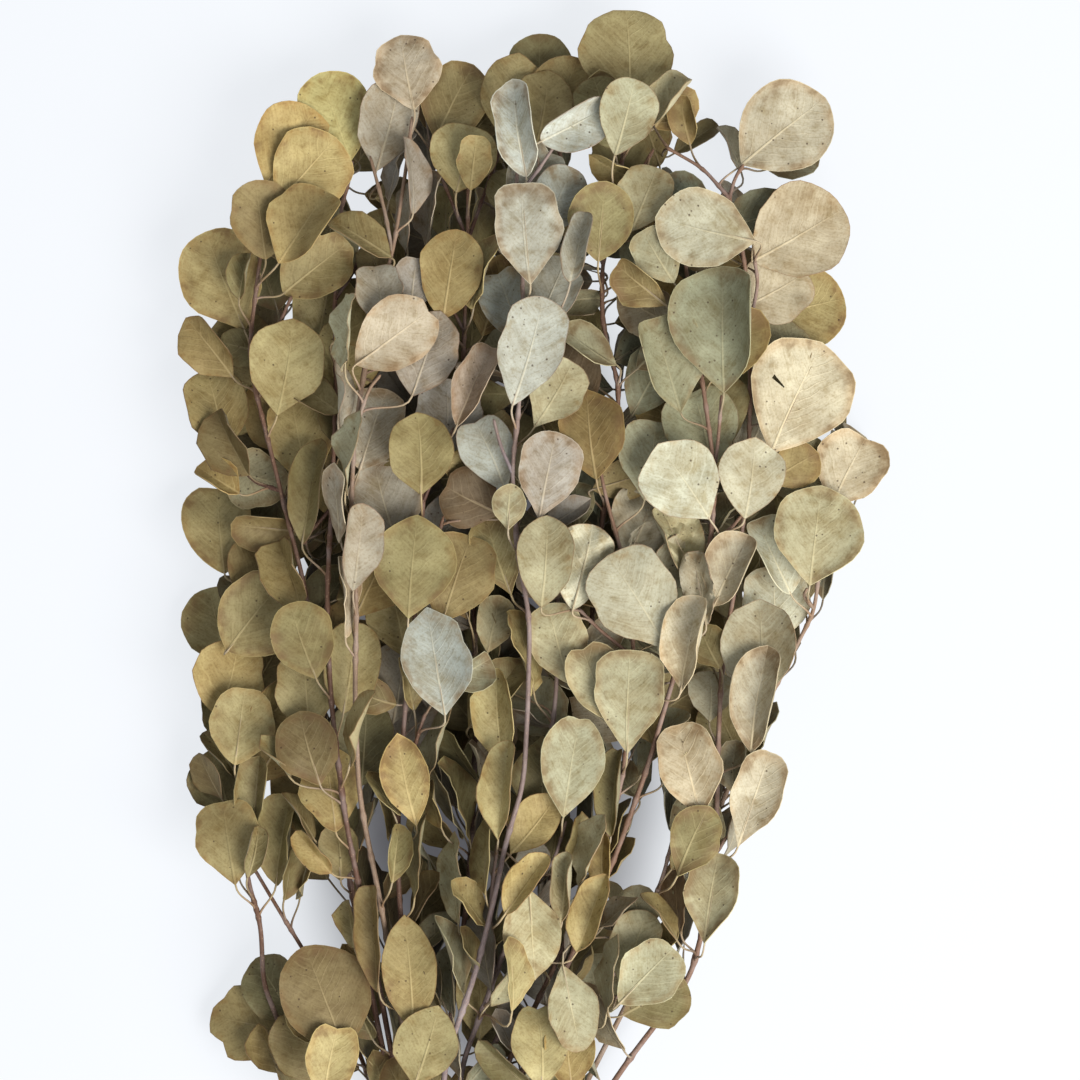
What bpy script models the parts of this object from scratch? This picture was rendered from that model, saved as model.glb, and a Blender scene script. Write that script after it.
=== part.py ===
"""A bunch of dried silver-dollar eucalyptus branches, tied with twine and laid on a table.

The bunch lies along Y with its tips at +Y and its cut ends at -Y, and rests on Z = 0.
The plan below is drawn in millimetres from a place near the lower middle of the leaves.
"""
import math
import random

import bpy
from mathutils import Vector
from mathutils.bvhtree import BVHTree

# Sizes in millimetres
LEAF_THICKNESS = 0.7
STALK_RADIUS = 0.62
STEM_RADIUS_LOW = 1.7
STEM_RADIUS_TIP = 0.9
TWIG_RADIUS_ROOT = 1.0
TWIG_RADIUS_TIP = 0.8
CLEARANCE = 0.35

# Cross section of the pile of leaves
PILE_MIDDLE = -5.0
PILE_HALF_WIDTH = 200.0
PILE_HEIGHT_MIDDLE = 68.0
PILE_HEIGHT_EDGE = 20.0
PILE_LOW_END = -60.0
PILE_FULL_LOW = 60.0
PILE_FULL_TOP = 420.0
PILE_TOP_END = 545.0
PILE_LOW_SHARE = 0.5
PILE_TOP_SHARE = 0.55

# The twine round the stems, and how the stems lie inside it
TIE_X = -38.0
TIE_Y = -130.0
TIE_LENGTH = 11.0
TIE_WALL = 1.8
TIE_GAP = 0.4
STEM_PITCH = 3.95
STEM_ROW_PITCH = 3.75
STEMS_IN_A_ROW = 5
STEM_ROWS = 3
ROW_SHIFT = 0.25
STEM_STRAIGHT = 10.0
STEM_END_Y = -198.0
STEM_END_SPREAD = 1.45
STEM_END_STAGGER = 9.0

TIE_CORNER_STEPS = 3
KNOT_RADIUS = 3.0
KNOT_SINK = 1.2
MILLIMETRE = 0.001

# Leaves: how far a stalk reaches, and how the hidden ones are sown
STALK_REACH = 13.0
SHORTEST_STALK = 4.0
LONGEST_STALK = 42.0
ROOT_SINK = 2.0
ROOT_STEP = 4.0
LEAFY_FROM_Y = -40.0
HIDDEN_LEAVES = 79
HIDDEN_ATTEMPTS = 14
HIDDEN_LENGTH = (34.0, 47.0)
HIDDEN_SHAPE = (0.72, 0.9)
HIDDEN_HEIGHT = (0.15, 0.8)
HIDDEN_TILT = 14.0
HIDDEN_FORMS = ("flat", "cup", "dome", "flat", "cup", "fold")
# Towards the stems, hidden leaves stand on edge and turn nearer to +Y
LOW_FORMS = ("edge", "edge_left", "fold", "cup", "edge", "fold_left")
LOW_LEAVES_Y = 175.0
LOW_TURN_SHARE = 0.5
SOWING_TRIES = 1500
NEAREST_WOOD = 14.0
FARTHEST_WOOD = 52.0
CELL = 6.0
GAP_TEST_SHARE = 0.7
# Where a blade's outline has its corners, as shares of its length
SHOWN_STATIONS = (0.3, 0.64, 0.9)
HIDDEN_STATIONS = (0.4, 0.82)
SHOWN_DEPTH = 0.79
# How pointed a blade's base and tip are, from and to: 0.5 is round, 1 is a wedge.
# Leaves at the left edge and the top are round, and those low in the middle are pointed.
ROUND_LEAVES = ((0.52, 0.72), (0.42, 0.52))
WEDGE_LEAVES = ((0.66, 0.96), (0.42, 0.58))
POINTED_LEAVES = ((0.72, 1.0), (0.56, 0.8))
ROUND_LEFT_X = -72.0
ROUND_TOP_Y = 375.0
POINTED_X = (-72.0, 45.0)
POINTED_TOP_Y = 190.0
# How much larger the drawn leaves are laid than their sizes in the plan
DRAWN_GROWTH = 1.05
# How a leaf is loosened, step by step, until it is clear of the others
ATTEMPTS = 60
LIFT_STEP = 1.5
LOOSEST_TURN = 24.0
LOOSEST_SHIFT = 6.0
LOOSEST_SHRINK = 0.12
SEED = 41

# Form of a blade: roll, fold of its left and right half, curl along it (degrees), waves (mm)
FORMS = {
    "flat": (0, 7, 7, 12, 1.3),
    "cup": (0, 20, 20, 18, 1.6),
    "dome": (0, -15, -15, 26, 1.2),
    "droop": (0, 10, 10, 55, 1.5),
    "fold": (22, 56, 50, 10, 1.0),
    "fold_left": (-22, 50, 56, 10, 1.0),
    "edge": (66, 14, 16, 12, 1.2),
    "edge_left": (-66, 16, 14, 12, 1.2),
    "curl_right": (0, 8, 66, 15, 1.4),
    "curl_left": (0, 66, 8, 15, 1.4),
    "tube": (8, 74, 70, 6, 0.5),
    "pressed": (0, 0, 0, 0, 0.0),
}

# Each branch: its place in the tie (row from the table, place in the row), its stem and twigs
# as (x, y, depth) and its leaves as (x, y, length, width, heading, depth, form).
# Depth is 0 on the table and 1 at the top of the pile; a heading of 0 points along +Y,
# and 90 along +X.
BRANCHES = {
    "outer_left": {
        "slot": (1, 0),
        "stem": [
            (-72, 2, 0.5), (-89, 90, 0.6), (-100, 160, 0.62), (-111, 240, 0.72), (-124, 293, 0.85),
            (-141, 360, 0.85), (-136, 405, 0.75), (-131, 440, 0.7), (-124, 462, 0.7),
        ],
        "twigs": [
            [(-124, 293, 0.85), (-140, 300, 0.75), (-152, 318, 0.6)],
            [(-111, 240, 0.72), (-130, 238, 0.55), (-146, 252, 0.5)],
            [(-141, 360, 0.85), (-128, 372, 0.8), (-119, 392, 0.8)],
        ],
        "leaves": [
            (-120, 467, 44, 39, 32, 0.8, "flat"), (-112, 454, 43, 41, 40, 0.86, "flat"),
            (-113, 426, 42, 39, 34, 0.92, "curl_right"), (-107, 406, 40, 33, 52, 0.8, "cup"),
            (-153, 400, 52, 40, -22, 0.78, "flat"), (-160, 366, 36, 27, -38, 0.6, "curl_right"),
            (-122, 355, 45, 37, 10, 0.92, "flat"), (-158, 336, 40, 32, -12, 0.62, "cup"),
            (-140, 302, 37, 30, 108, 0.78, "flat"), (-156, 277, 46, 35, -6, 0.6, "flat"),
            (-135, 256, 42, 35, 22, 0.5, "cup"), (-137, 232, 44, 41, 40, 0.72, "flat"),
            (-129, 330, 40, 32, -30, 0.55, "dome"), (-147, 340, 40, 34, 25, 0.45, "flat"),
            (-136, 432, 40, 35, 4, 0.5, "flat"), (-104, 384, 40, 34, 12, 0.55, "flat"),
        ],
    },
    "low_left": {
        "slot": (0, 0),
        "stem": [
            (-119, 2, 0.35), (-126, 25, 0.5), (-134, 47, 0.62), (-135, 77, 0.66), (-142, 100, 0.62),
            (-146, 140, 0.5), (-148, 172, 0.45), (-146, 205, 0.4), (-142, 235, 0.35),
        ],
        "twigs": [],
        "leaves": [
            (-151, 200, 38, 36, 14, 0.66, "flat"), (-145, 177, 38, 33, 8, 0.82, "flat"),
            (-156, 149, 32, 31, -22, 0.7, "flat"), (-151, 119, 42, 34, -10, 0.85, "flat"),
            (-125, 120, 45, 31, 6, 0.62, "fold"), (-132, 206, 42, 34, 30, 0.4, "flat"),
            (-128, 166, 40, 34, 28, 0.45, "flat"), (-158, 226, 40, 34, -14, 0.3, "flat"),
            (-150, 182, 36, 30, -24, 0.25, "flat"),
        ],
    },
    "bottom_left": {
        "slot": (0, 1),
        "stem": [(-84, 5, 0.25), (-98, 35, 0.42), (-112, 61, 0.55), (-126, 84, 0.6), (-141, 108, 0.5)],
        "twigs": [[(-98, 35, 0.42), (-108, 24, 0.4), (-118, 18, 0.35)]],
        "leaves": [
            (-102, 41, 52, 43, -20, 0.9, "flat"), (-141, 24, 42, 37, -78, 0.55, "flat"),
            (-128, 42, 36, 31, -34, 0.4, "cup"), (-112, 16, 40, 33, -24, 0.62, "flat"),
            (-95, 8, 40, 30, 6, 0.45, "cup"),
        ],
    },
    "inner_left": {
        "slot": (2, 0),
        "stem": [
            (-68, 2, 0.55), (-78, 60, 0.62), (-92, 130, 0.86), (-99, 190, 0.96), (-101, 240, 0.96),
            (-99, 285, 0.9), (-97, 340, 0.72), (-98, 390, 0.62), (-96, 430, 0.6), (-89, 460, 0.66),
        ],
        "twigs": [
            [(-99, 285, 0.9), (-110, 274, 0.85), (-113, 268, 0.84)],
            [(-98, 390, 0.62), (-88, 405, 0.6), (-80, 425, 0.55)],
        ],
        "leaves": [
            (-98, 482, 45, 36, -20, 0.78, "flat"), (-112, 193, 40, 29, -5, 0.8, "flat"),
            (-110, 294, 50, 27, 8, 0.82, "fold"), (-99, 146, 41, 31, -6, 0.88, "dome"),
            (-108, 168, 38, 33, -24, 0.66, "flat"), (-100, 418, 38, 32, -10, 0.45, "cup"),
            (-116, 322, 42, 34, -12, 0.66, "flat"), (-92, 360, 42, 33, 10, 0.6, "flat"),
            (-114, 140, 40, 33, -20, 0.55, "flat"), (-90, 206, 44, 30, 8, 0.8, "cup"),
            (-112, 222, 40, 32, -16, 0.7, "flat"), (-84, 176, 42, 30, 12, 0.75, "edge"),
            (-103, 130, 36, 31, -16, 0.6, "flat"),
        ],
    },
    "left_silver": {
        "slot": (2, 1),
        "stem": [
            (-60, 2, 0.6), (-75, 90, 0.7), (-85, 142, 0.88), (-87, 190, 0.97), (-86, 240, 0.98),
            (-89, 285, 0.96), (-87, 325, 0.94), (-79, 375, 0.85), (-68, 415, 0.8), (-62, 455, 0.8),
            (-59, 482, 0.8),
        ],
        "twigs": [
            [(-68, 415, 0.8), (-74, 440, 0.8), (-80, 462, 0.8)],
            [(-87, 325, 0.94), (-80, 345, 0.98), (-74, 352, 1.0)],
        ],
        "leaves": [
            (-71, 478, 47, 29, 14, 0.88, "flat"), (-62, 505, 38, 33, -10, 0.75, "flat"),
            (-67, 458, 36, 24, 8, 0.7, "edge"), (-57, 452, 38, 24, 4, 0.9, "edge_left"),
            (-50, 436, 38, 26, 6, 0.78, "edge"), (-64, 432, 36, 24, -6, 0.9, "edge"),
            (-75, 392, 31, 26, -10, 1.02, "cup"), (-57, 398, 27, 22, 10, 0.98, "flat"),
            (-67, 371, 46, 33, 54, 1.04, "flat"), (-51, 362, 42, 36, 22, 0.8, "flat"),
            (-79, 325, 42, 36, 14, 0.9, "cup"), (-92, 372, 40, 24, 2, 0.95, "edge"),
            (-94, 342, 38, 22, 0, 1.0, "edge_left"), (-90, 312, 40, 24, 6, 1.0, "edge"),
            (-95, 288, 38, 24, -4, 1.0, "edge"), (-86, 266, 42, 26, 8, 1.02, "curl_left"),
            (-90, 242, 40, 24, 4, 1.02, "edge_left"), (-70, 420, 38, 30, -16, 0.7, "fold"),
        ],
    },
    "centre_left": {
        "slot": (1, 1),
        "stem": [
            (-56, 2, 0.55), (-66, 90, 0.62), (-66, 140, 0.66), (-62, 190, 0.72), (-57, 235, 0.8),
            (-53, 290, 0.8), (-51, 335, 0.62), (-55, 375, 0.5), (-60, 405, 0.45),
        ],
        "twigs": [
            [(-57, 235, 0.8), (-48, 262, 0.84), (-43, 282, 0.84)],
            [(-66, 140, 0.66), (-60, 160, 0.72), (-52, 184, 0.85)],
            [(-53, 290, 0.8), (-44, 312, 0.82), (-38, 326, 0.84)],
        ],
        "leaves": [
            (-55, 312, 38, 32, -3, 1.04, "flat"), (-58, 256, 48, 39, 5, 1.04, "flat"),
            (-36, 252, 44, 38, 18, 0.85, "flat"), (-29, 290, 33, 31, -64, 0.95, "dome"),
            (-46, 208, 50, 36, -10, 1.04, "cup"), (-28, 347, 43, 27, 22, 0.95, "fold"),
            (-61, 150, 44, 24, -12, 0.9, "cup"), (-61, 52, 56, 28, -2, 0.97, "cup"),
            (-52, 18, 40, 31, 18, 1.0, "flat"), (-72, 288, 42, 36, -16, 0.7, "flat"),
            (-68, 232, 42, 32, -14, 0.78, "cup"), (-46, 170, 42, 28, 16, 0.7, "edge"),
            (-56, 112, 42, 26, 4, 0.85, "edge"), (-78, 72, 52, 24, -6, 0.8, "fold"),
            (-42, 330, 40, 34, 0, 0.7, "flat"),
        ],
    },
    "upper_centre": {
        "slot": (0, 2),
        "stem": [
            (-45, 2, 0.3), (-36, 52, 0.4), (-29, 115, 0.45), (-27, 190, 0.5), (-29, 260, 0.5),
            (-34, 325, 0.5), (-33, 375, 0.6), (-31, 420, 0.7), (-31, 448, 0.74),
        ],
        "twigs": [
            [(-33, 375, 0.6), (-38, 384, 0.64), (-41, 388, 0.66)],
            [(-31, 420, 0.7), (-42, 446, 0.66), (-50, 466, 0.62)],
            [(-31, 420, 0.7), (-22, 446, 0.62), (-14, 470, 0.55)],
        ],
        "leaves": [
            (-38, 490, 42, 33, 26, 0.62, "flat"), (-33, 461, 35, 32, 12, 0.8, "flat"),
            (-28, 458, 27, 18, 6, 0.98, "flat"), (-9, 492, 40, 31, 8, 0.62, "flat"),
            (-40, 402, 42, 31, 8, 0.9, "flat"), (-44, 438, 36, 24, 0, 0.6, "edge"),
            (-24, 430, 38, 26, 6, 0.66, "edge_left"), (-26, 404, 38, 26, 8, 0.72, "edge"),
            (-30, 372, 42, 34, 4, 0.5, "flat"), (-18, 392, 40, 30, 18, 0.5, "cup"),
            (-24, 38, 42, 26, 6, 0.74, "cup"), (-38, 100, 42, 28, -6, 0.75, "edge"),
            (-34, 142, 44, 28, -10, 0.7, "edge_left"),
        ],
    },
    "silver_centre": {
        "slot": (2, 2),
        "stem": [
            (-44, 6, 0.92), (-28, 52, 0.97), (-20, 82, 0.98), (-12, 120, 0.98), (-3, 150, 0.97),
            (-1, 188, 0.97), (0, 231, 0.98), (-6, 262, 1.0), (-9, 303, 1.02), (-5, 340, 1.0),
            (-3, 395, 0.95), (-7, 440, 0.93), (-6, 462, 0.95),
        ],
        "twigs": [
            [(-7, 440, 0.93), (4, 454, 0.95), (12, 466, 0.98)],
            [(-5, 340, 1.0), (4, 362, 0.96), (12, 378, 0.92)],
            [(-9, 303, 1.02), (-15, 318, 1.0), (-18, 330, 0.98)],
        ],
        "leaves": [
            (-6, 474, 46, 32, -10, 1.1, "fold"), (22, 477, 36, 27, 62, 1.15, "curl_left"),
            (1, 451, 38, 28, 40, 1.0, "cup"), (-2, 422, 50, 34, -5, 1.12, "flat"),
            (23, 415, 36, 22, 8, 0.95, "fold"), (10, 393, 38, 29, 26, 0.98, "flat"),
            (-1, 363, 54, 33, 16, 1.15, "flat"), (9, 302, 43, 31, 12, 1.05, "flat"),
            (-10, 286, 22, 16, 4, 1.12, "flat"), (-20, 312, 40, 28, -24, 0.9, "cup"),
            (12, 342, 38, 28, 30, 0.85, "flat"), (-10, 388, 38, 28, -18, 0.85, "cup"),
            (13, 438, 38, 26, 24, 0.9, "flat"), (-16, 262, 40, 28, -18, 0.85, "cup"),
        ],
    },
    "upper_right": {
        "slot": (1, 3),
        "stem": [
            (-25, 2, 0.5), (-4, 45, 0.5), (9, 92, 0.5), (19, 140, 0.5), (27, 190, 0.5),
            (32, 240, 0.55), (36, 278, 0.6), (41, 315, 0.66), (45, 345, 0.7), (36, 378, 0.72),
            (36, 408, 0.72), (44, 445, 0.66), (48, 474, 0.62),
        ],
        "twigs": [
            [(36, 408, 0.72), (24, 440, 0.62), (14, 466, 0.55)],
            [(44, 445, 0.66), (54, 452, 0.7), (62, 466, 0.72)],
        ],
        "leaves": [
            (49, 512, 46, 46, -2, 0.78, "flat"), (49, 481, 40, 29, 10, 0.98, "flat"),
            (68, 488, 33, 30, 40, 1.0, "fold"), (36, 428, 38, 32, 6, 0.95, "flat"),
            (57, 440, 34, 28, 22, 0.9, "flat"), (46, 460, 36, 31, -6, 0.62, "flat"),
            (70, 437, 34, 28, 40, 0.72, "dome"), (5, 506, 38, 32, -2, 0.5, "flat"),
            (17, 494, 38, 31, 20, 0.62, "flat"), (30, 322, 42, 33, -8, 1.0, "flat"),
            (35, 486, 38, 30, -14, 0.5, "flat"), (24, 372, 38, 30, -16, 0.6, "cup"),
            (22, 352, 36, 28, -24, 0.66, "flat"), (56, 470, 36, 28, 34, 0.5, "flat"),
        ],
    },
    "right_inner": {
        "slot": (2, 4),
        "stem": [
            (-5, 2, 0.6), (20, 60, 0.62), (42, 110, 0.68), (58, 155, 0.82), (68, 190, 0.94),
            (79, 228, 0.95), (90, 268, 0.97), (92, 303, 0.98), (87, 340, 0.95), (80, 385, 0.9),
            (76, 420, 0.88), (66, 452, 0.86),
        ],
        "twigs": [
            [(80, 385, 0.9), (90, 392, 0.95), (92, 398, 0.98)],
            [(92, 303, 0.98), (94, 326, 1.0), (95, 342, 1.04)],
            [(90, 268, 0.97), (100, 276, 1.0), (105, 282, 1.02)],
        ],
        "leaves": [
            (63, 411, 30, 24, -30, 1.05, "flat"),
            (55, 397, 31, 24, -50, 0.98, "curl_right"), (96, 373, 58, 54, 0, 1.16, "curl_right"),
            (68, 357, 48, 44, -16, 1.0, "curl_left"), (86, 326, 42, 36, -14, 0.86, "flat"),
            (77, 298, 41, 39, -34, 1.12, "flat"), (109, 300, 38, 32, 8, 1.14, "flat"),
            (74, 268, 40, 30, -26, 0.96, "curl_left"), (100, 255, 38, 30, 26, 1.0, "curl_right"),
            (84, 246, 36, 26, -10, 1.04, "fold"), (70, 330, 40, 32, -40, 0.75, "cup"),
            (66, 385, 40, 32, -28, 0.72, "flat"),
        ],
    },
    "far_right": {
        "slot": (1, 4),
        "stem": [
            (45, 2, 0.5), (80, 48, 0.5), (88, 80, 0.62), (93, 112, 0.72), (94, 170, 0.78),
            (96, 210, 0.78), (104, 255, 0.75), (109, 300, 0.72), (110, 335, 0.75), (110, 378, 0.75),
            (107, 412, 0.78), (99, 444, 0.75),
        ],
        "twigs": [
            [(99, 444, 0.75), (86, 456, 0.85), (68, 466, 0.9)],
            [(99, 444, 0.75), (103, 452, 0.8), (107, 458, 0.82)],
            [(110, 378, 0.75), (114, 398, 0.8), (112, 410, 0.86)],
            [(93, 112, 0.72), (97, 120, 0.74), (99, 122, 0.75)],
        ],
        "leaves": [
            (127, 475, 52, 44, 50, 0.86, "flat"), (133, 423, 52, 46, 58, 0.92, "flat"),
            (121, 394, 42, 36, 62, 0.8, "flat"), (136, 386, 44, 38, 76, 0.66, "flat"),
            (133, 340, 57, 51, 26, 0.95, "flat"), (113, 190, 50, 36, 6, 1.0, "fold"),
            (111, 141, 50, 28, 18, 0.95, "cup"), (79, 156, 46, 33, -14, 1.0, "cup"),
            (90, 92, 45, 30, 10, 0.85, "cup"), (72, 92, 38, 26, -10, 0.7, "edge"),
            (122, 362, 40, 34, 36, 0.6, "flat"), (84, 126, 36, 27, -14, 0.75, "flat"),
            (114, 322, 40, 33, 22, 0.7, "flat"), (88, 424, 47, 38, -76, 1.1, "flat"),
        ],
    },
    "outer_right": {
        "slot": (0, 4),
        "stem": [
            (32, 2, 0.3), (56, 50, 0.32), (80, 100, 0.35), (100, 145, 0.4), (118, 185, 0.48),
            (135, 219, 0.6), (143, 235, 0.66), (146, 266, 0.72), (148, 284, 0.72),
        ],
        "twigs": [
            [(143, 235, 0.66), (137, 242, 0.7), (139, 246, 0.72)],
            [(118, 185, 0.48), (117, 198, 0.6), (115, 204, 0.7)],
        ],
        "leaves": [
            (160, 304, 41, 35, 26, 0.82, "flat"), (143, 272, 48, 44, 8, 0.98, "flat"),
            (135, 304, 38, 33, -14, 0.7, "flat"), (125, 235, 42, 37, 2, 0.86, "flat"),
            (114, 214, 47, 40, -4, 1.0, "cup"), (132, 256, 40, 34, -14, 0.62, "cup"),
            (122, 262, 40, 32, -24, 0.72, "curl_left"), (126, 288, 38, 30, -20, 0.55, "flat"),
            (100, 172, 38, 29, -24, 0.5, "cup"),
        ],
    },
    "mid_right": {
        "slot": (2, 3),
        "stem": [
            (-14, 2, 0.5), (12, 55, 0.54), (34, 105, 0.6), (46, 150, 0.74), (49, 175, 0.88),
            (52, 212, 0.88), (48, 255, 0.88), (38, 290, 0.85), (34, 310, 0.84),
        ],
        "twigs": [
            [(49, 175, 0.88), (62, 196, 0.94), (67, 210, 0.98)],
            [(52, 212, 0.88), (36, 224, 0.9), (24, 236, 0.92)],
        ],
        "leaves": [
            (54, 238, 54, 43, -32, 1.16, "flat"), (49, 190, 50, 36, 2, 1.12, "flat"),
            (79, 219, 48, 38, 12, 1.04, "fold"), (26, 256, 42, 31, 14, 1.08, "flat"),
            (8, 258, 44, 31, 4, 0.92, "cup"), (15, 218, 40, 31, -16, 0.98, "flat"),
            (34, 200, 42, 30, -24, 0.9, "cup"), (56, 278, 42, 36, 22, 0.8, "flat"),
            (60, 310, 42, 34, 10, 0.7, "flat"), (64, 170, 40, 28, 24, 0.84, "edge"),
            (30, 116, 38, 24, 18, 0.84, "edge"), (41, 145, 44, 24, 2, 0.88, "fold"),
        ],
    },
    "low_centre": {
        "slot": (1, 2),
        "stem": [
            (-36, 2, 0.6), (-18, 50, 0.66), (-4, 90, 0.7), (6, 140, 0.74), (13, 190, 0.74),
            (14, 230, 0.7), (12, 285, 0.66), (14, 320, 0.6),
        ],
        "twigs": [
            [(-18, 50, 0.66), (-20, 90, 0.78), (-16, 120, 0.88)],
            [(-4, 90, 0.7), (12, 110, 0.78), (18, 130, 0.82)],
        ],
        "leaves": [
            (-16, 182, 46, 32, -8, 0.86, "fold"), (-14, 146, 48, 27, 4, 1.0, "fold"),
            (2, 129, 36, 24, 38, 0.98, "cup"), (21, 158, 50, 34, 10, 0.98, "cup"),
            (17, 98, 34, 26, 4, 1.02, "tube"), (1, 76, 42, 29, 176, 1.08, "cup"),
            (-2, 101, 36, 24, 34, 1.05, "fold"), (-24, 222, 42, 28, -20, 0.7, "edge"),
            (22, 186, 40, 28, 22, 0.8, "edge"), (-8, 60, 40, 28, 20, 0.72, "edge_left"),
            (0, 214, 42, 28, -6, 0.8, "edge_left"), (30, 84, 40, 30, 18, 0.85, "fold"),
            (-38, 64, 40, 26, -14, 0.82, "edge_left"), (6, 18, 42, 30, 4, 0.85, "cup"),
        ],
    },
    "low_right": {
        "slot": (0, 3),
        "stem": [(12, 2, 0.4), (33, 37, 0.45), (52, 68, 0.5), (66, 98, 0.55), (74, 130, 0.6)],
        "twigs": [[(33, 37, 0.45), (42, 40, 0.55), (46, 42, 0.6)]],
        "leaves": [
            (58, 54, 38, 31, 44, 0.96, "flat"), (52, 66, 37, 27, 18, 0.8, "cup"),
            (63, 39, 35, 29, 66, 0.62, "flat"), (21, 37, 44, 28, 168, 1.04, "cup"),
            (19, 14, 40, 27, -6, 0.9, "cup"), (40, 52, 38, 28, 6, 0.85, "edge"),
            (84, 122, 38, 27, 14, 0.7, "flat"), (34, 44, 36, 28, 28, 0.6, "flat"),
            (46, 80, 36, 27, -4, 0.75, "edge_left"),
        ],
    },
}

# Colour and roughness of each sub-part
COLOURS = {
    "outer_left": ((0.30, 0.25, 0.10), 0.75),
    "low_left": ((0.31, 0.26, 0.11), 0.75),
    "bottom_left": ((0.22, 0.18, 0.09), 0.75),
    "inner_left": ((0.34, 0.29, 0.13), 0.75),
    "left_silver": ((0.36, 0.33, 0.25), 0.8),
    "centre_left": ((0.26, 0.24, 0.12), 0.75),
    "upper_centre": ((0.29, 0.26, 0.12), 0.75),
    "silver_centre": ((0.42, 0.43, 0.36), 0.8),
    "upper_right": ((0.31, 0.27, 0.13), 0.75),
    "right_inner": ((0.32, 0.32, 0.20), 0.78),
    "far_right": ((0.45, 0.39, 0.23), 0.78),
    "outer_right": ((0.36, 0.34, 0.19), 0.78),
    "mid_right": ((0.38, 0.37, 0.22), 0.78),
    "low_centre": ((0.27, 0.25, 0.14), 0.75),
    "low_right": ((0.35, 0.31, 0.18), 0.78),
    "tie": ((0.46, 0.34, 0.20), 0.9),
}

# Leaves pressed flat on the table under the bunch, which it rests on: x, y, heading
PRESSED = {
    "outer_left": [(-128, 300, -20), (-112, 420, 16)],
    "low_left": [(-140, 176, -14)],
    "bottom_left": [(-90, 38, 30)],
    "upper_centre": [(-40, 350, -8), (-20, 160, 14), (-26, 455, 10)],
    "outer_right": [(96, 190, 20), (118, 262, 34)],
    "low_right": [(24, 66, 10)],
    "far_right": [(112, 345, 14)],
}
PRESSED_LENGTH = 44.0
PRESSED_WIDTH = 37.0

# Outline of the leaves in plan, which the hidden ones keep inside
OUTLINE = [
    (-172, 395), (-176, 365), (-172, 290), (-158, 240), (-168, 195), (-172, 150), (-166, 112),
    (-140, 90), (-118, 78), (-128, 55), (-154, 30), (-140, 8), (-100, -30), (-60, -42), (20, -36),
    (30, 4), (40, 26), (68, 46), (80, 70), (100, 95), (124, 160), (124, 200), (142, 230), (162, 262),
    (176, 305), (158, 345), (152, 385), (150, 425), (148, 470), (120, 492), (102, 478), (84, 496),
    (48, 530), (26, 515), (-4, 508), (-34, 505), (-62, 520), (-80, 498), (-114, 488), (-134, 470),
    (-138, 430),
]
# Places where the table shows between the leaves: x, y, radius
GAPS = [
    (-82, 452, 7), (-82, 438, 7), (-66, 462, 4), (27, 459, 5), (28, 446, 4), (84, 463, 8),
    (94, 466, 8), (74, 461, 5), (96, 454, 5), (109, 449, 6), (124, 450, 4), (37, 412, 5),
    (39, 396, 7), (38, 378, 8), (42, 356, 9), (42, 340, 6), (-29, 381, 4), (-128, 92, 11),
    (-112, 85, 13), (-100, 94, 9), (-104, 72, 9), (-134, 104, 5), (-77, 124, 5), (-75, 110, 5),
    (-78, 36, 5), (-73, 22, 6), (-128, 146, 4), (-55, 350, 4), (62, 140, 7), (58, 124, 9),
    (52, 108, 8), (66, 112, 5), (44, 99, 5), (50, 24, 9), (58, 14, 9), (42, 10, 6),
]


def pile_height(x, y):
    """Height of the top of the pile above the table, at a place in plan."""
    across = max(0.0, 1.0 - ((x - PILE_MIDDLE) / PILE_HALF_WIDTH) ** 2)
    height = PILE_HEIGHT_EDGE + (PILE_HEIGHT_MIDDLE - PILE_HEIGHT_EDGE) * math.sqrt(across)
    if y < PILE_FULL_LOW:
        share = max(0.0, (y - PILE_LOW_END) / (PILE_FULL_LOW - PILE_LOW_END))
        height *= PILE_LOW_SHARE + (1.0 - PILE_LOW_SHARE) * share
    if y > PILE_FULL_TOP:
        share = min(1.0, (y - PILE_FULL_TOP) / (PILE_TOP_END - PILE_FULL_TOP))
        height *= 1.0 - (1.0 - PILE_TOP_SHARE) * share
    return height


def in_pile(x, y, depth):
    """A place in the pile as a point, depth 0 on the table and 1 at the top."""
    return Vector((x, y, max(STEM_RADIUS_LOW + 1.0, depth * pile_height(x, y))))


def points_at(x, y):
    """How pointed the leaves are at a place in plan: the range of their bases and of their tips."""
    if x < ROUND_LEFT_X or y > ROUND_TOP_Y:
        return ROUND_LEAVES
    if y < POINTED_TOP_Y and POINTED_X[0] < x < POINTED_X[1]:
        return POINTED_LEAVES
    return WEDGE_LEAVES


def slot_place(slot):
    """Where a stem passes through the tie, in x and z."""
    row, place = slot
    shift = ROW_SHIFT if row % 2 else -ROW_SHIFT
    x = TIE_X + (place - (STEMS_IN_A_ROW - 1) / 2 + shift) * STEM_PITCH
    z = TIE_WALL + TIE_GAP + STEM_RADIUS_LOW + row * STEM_ROW_PITCH
    return x, z


def stem_points(branch, draw):
    """The main stem from its cut end, through the tie and up among the leaves."""
    x, z = slot_place(branch["slot"])
    end_x = TIE_X + (x - TIE_X) * STEM_END_SPREAD
    cut_end = Vector((end_x, STEM_END_Y - draw.uniform(0.0, STEM_END_STAGGER), z))
    below = Vector((x, TIE_Y - STEM_STRAIGHT, z))
    above = Vector((x, TIE_Y + STEM_STRAIGHT, z))
    first = in_pile(*branch["stem"][0])
    points = [cut_end, below, above, above.lerp(first, 0.5)]
    points.extend(in_pile(*place) for place in branch["stem"])
    return points


def walk(points, step):
    """Places at even steps along a run of points, each with its direction."""
    places = []
    for start, end in zip(points, points[1:]):
        count = max(1, round((end - start).length / step))
        direction = (end - start).normalized()
        for index in range(count):
            places.append((start.lerp(end, index / count), direction))
    direction = (points[-1] - points[-2]).normalized()
    places.append((points[-1] - direction * ROOT_SINK, direction))
    return places


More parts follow.
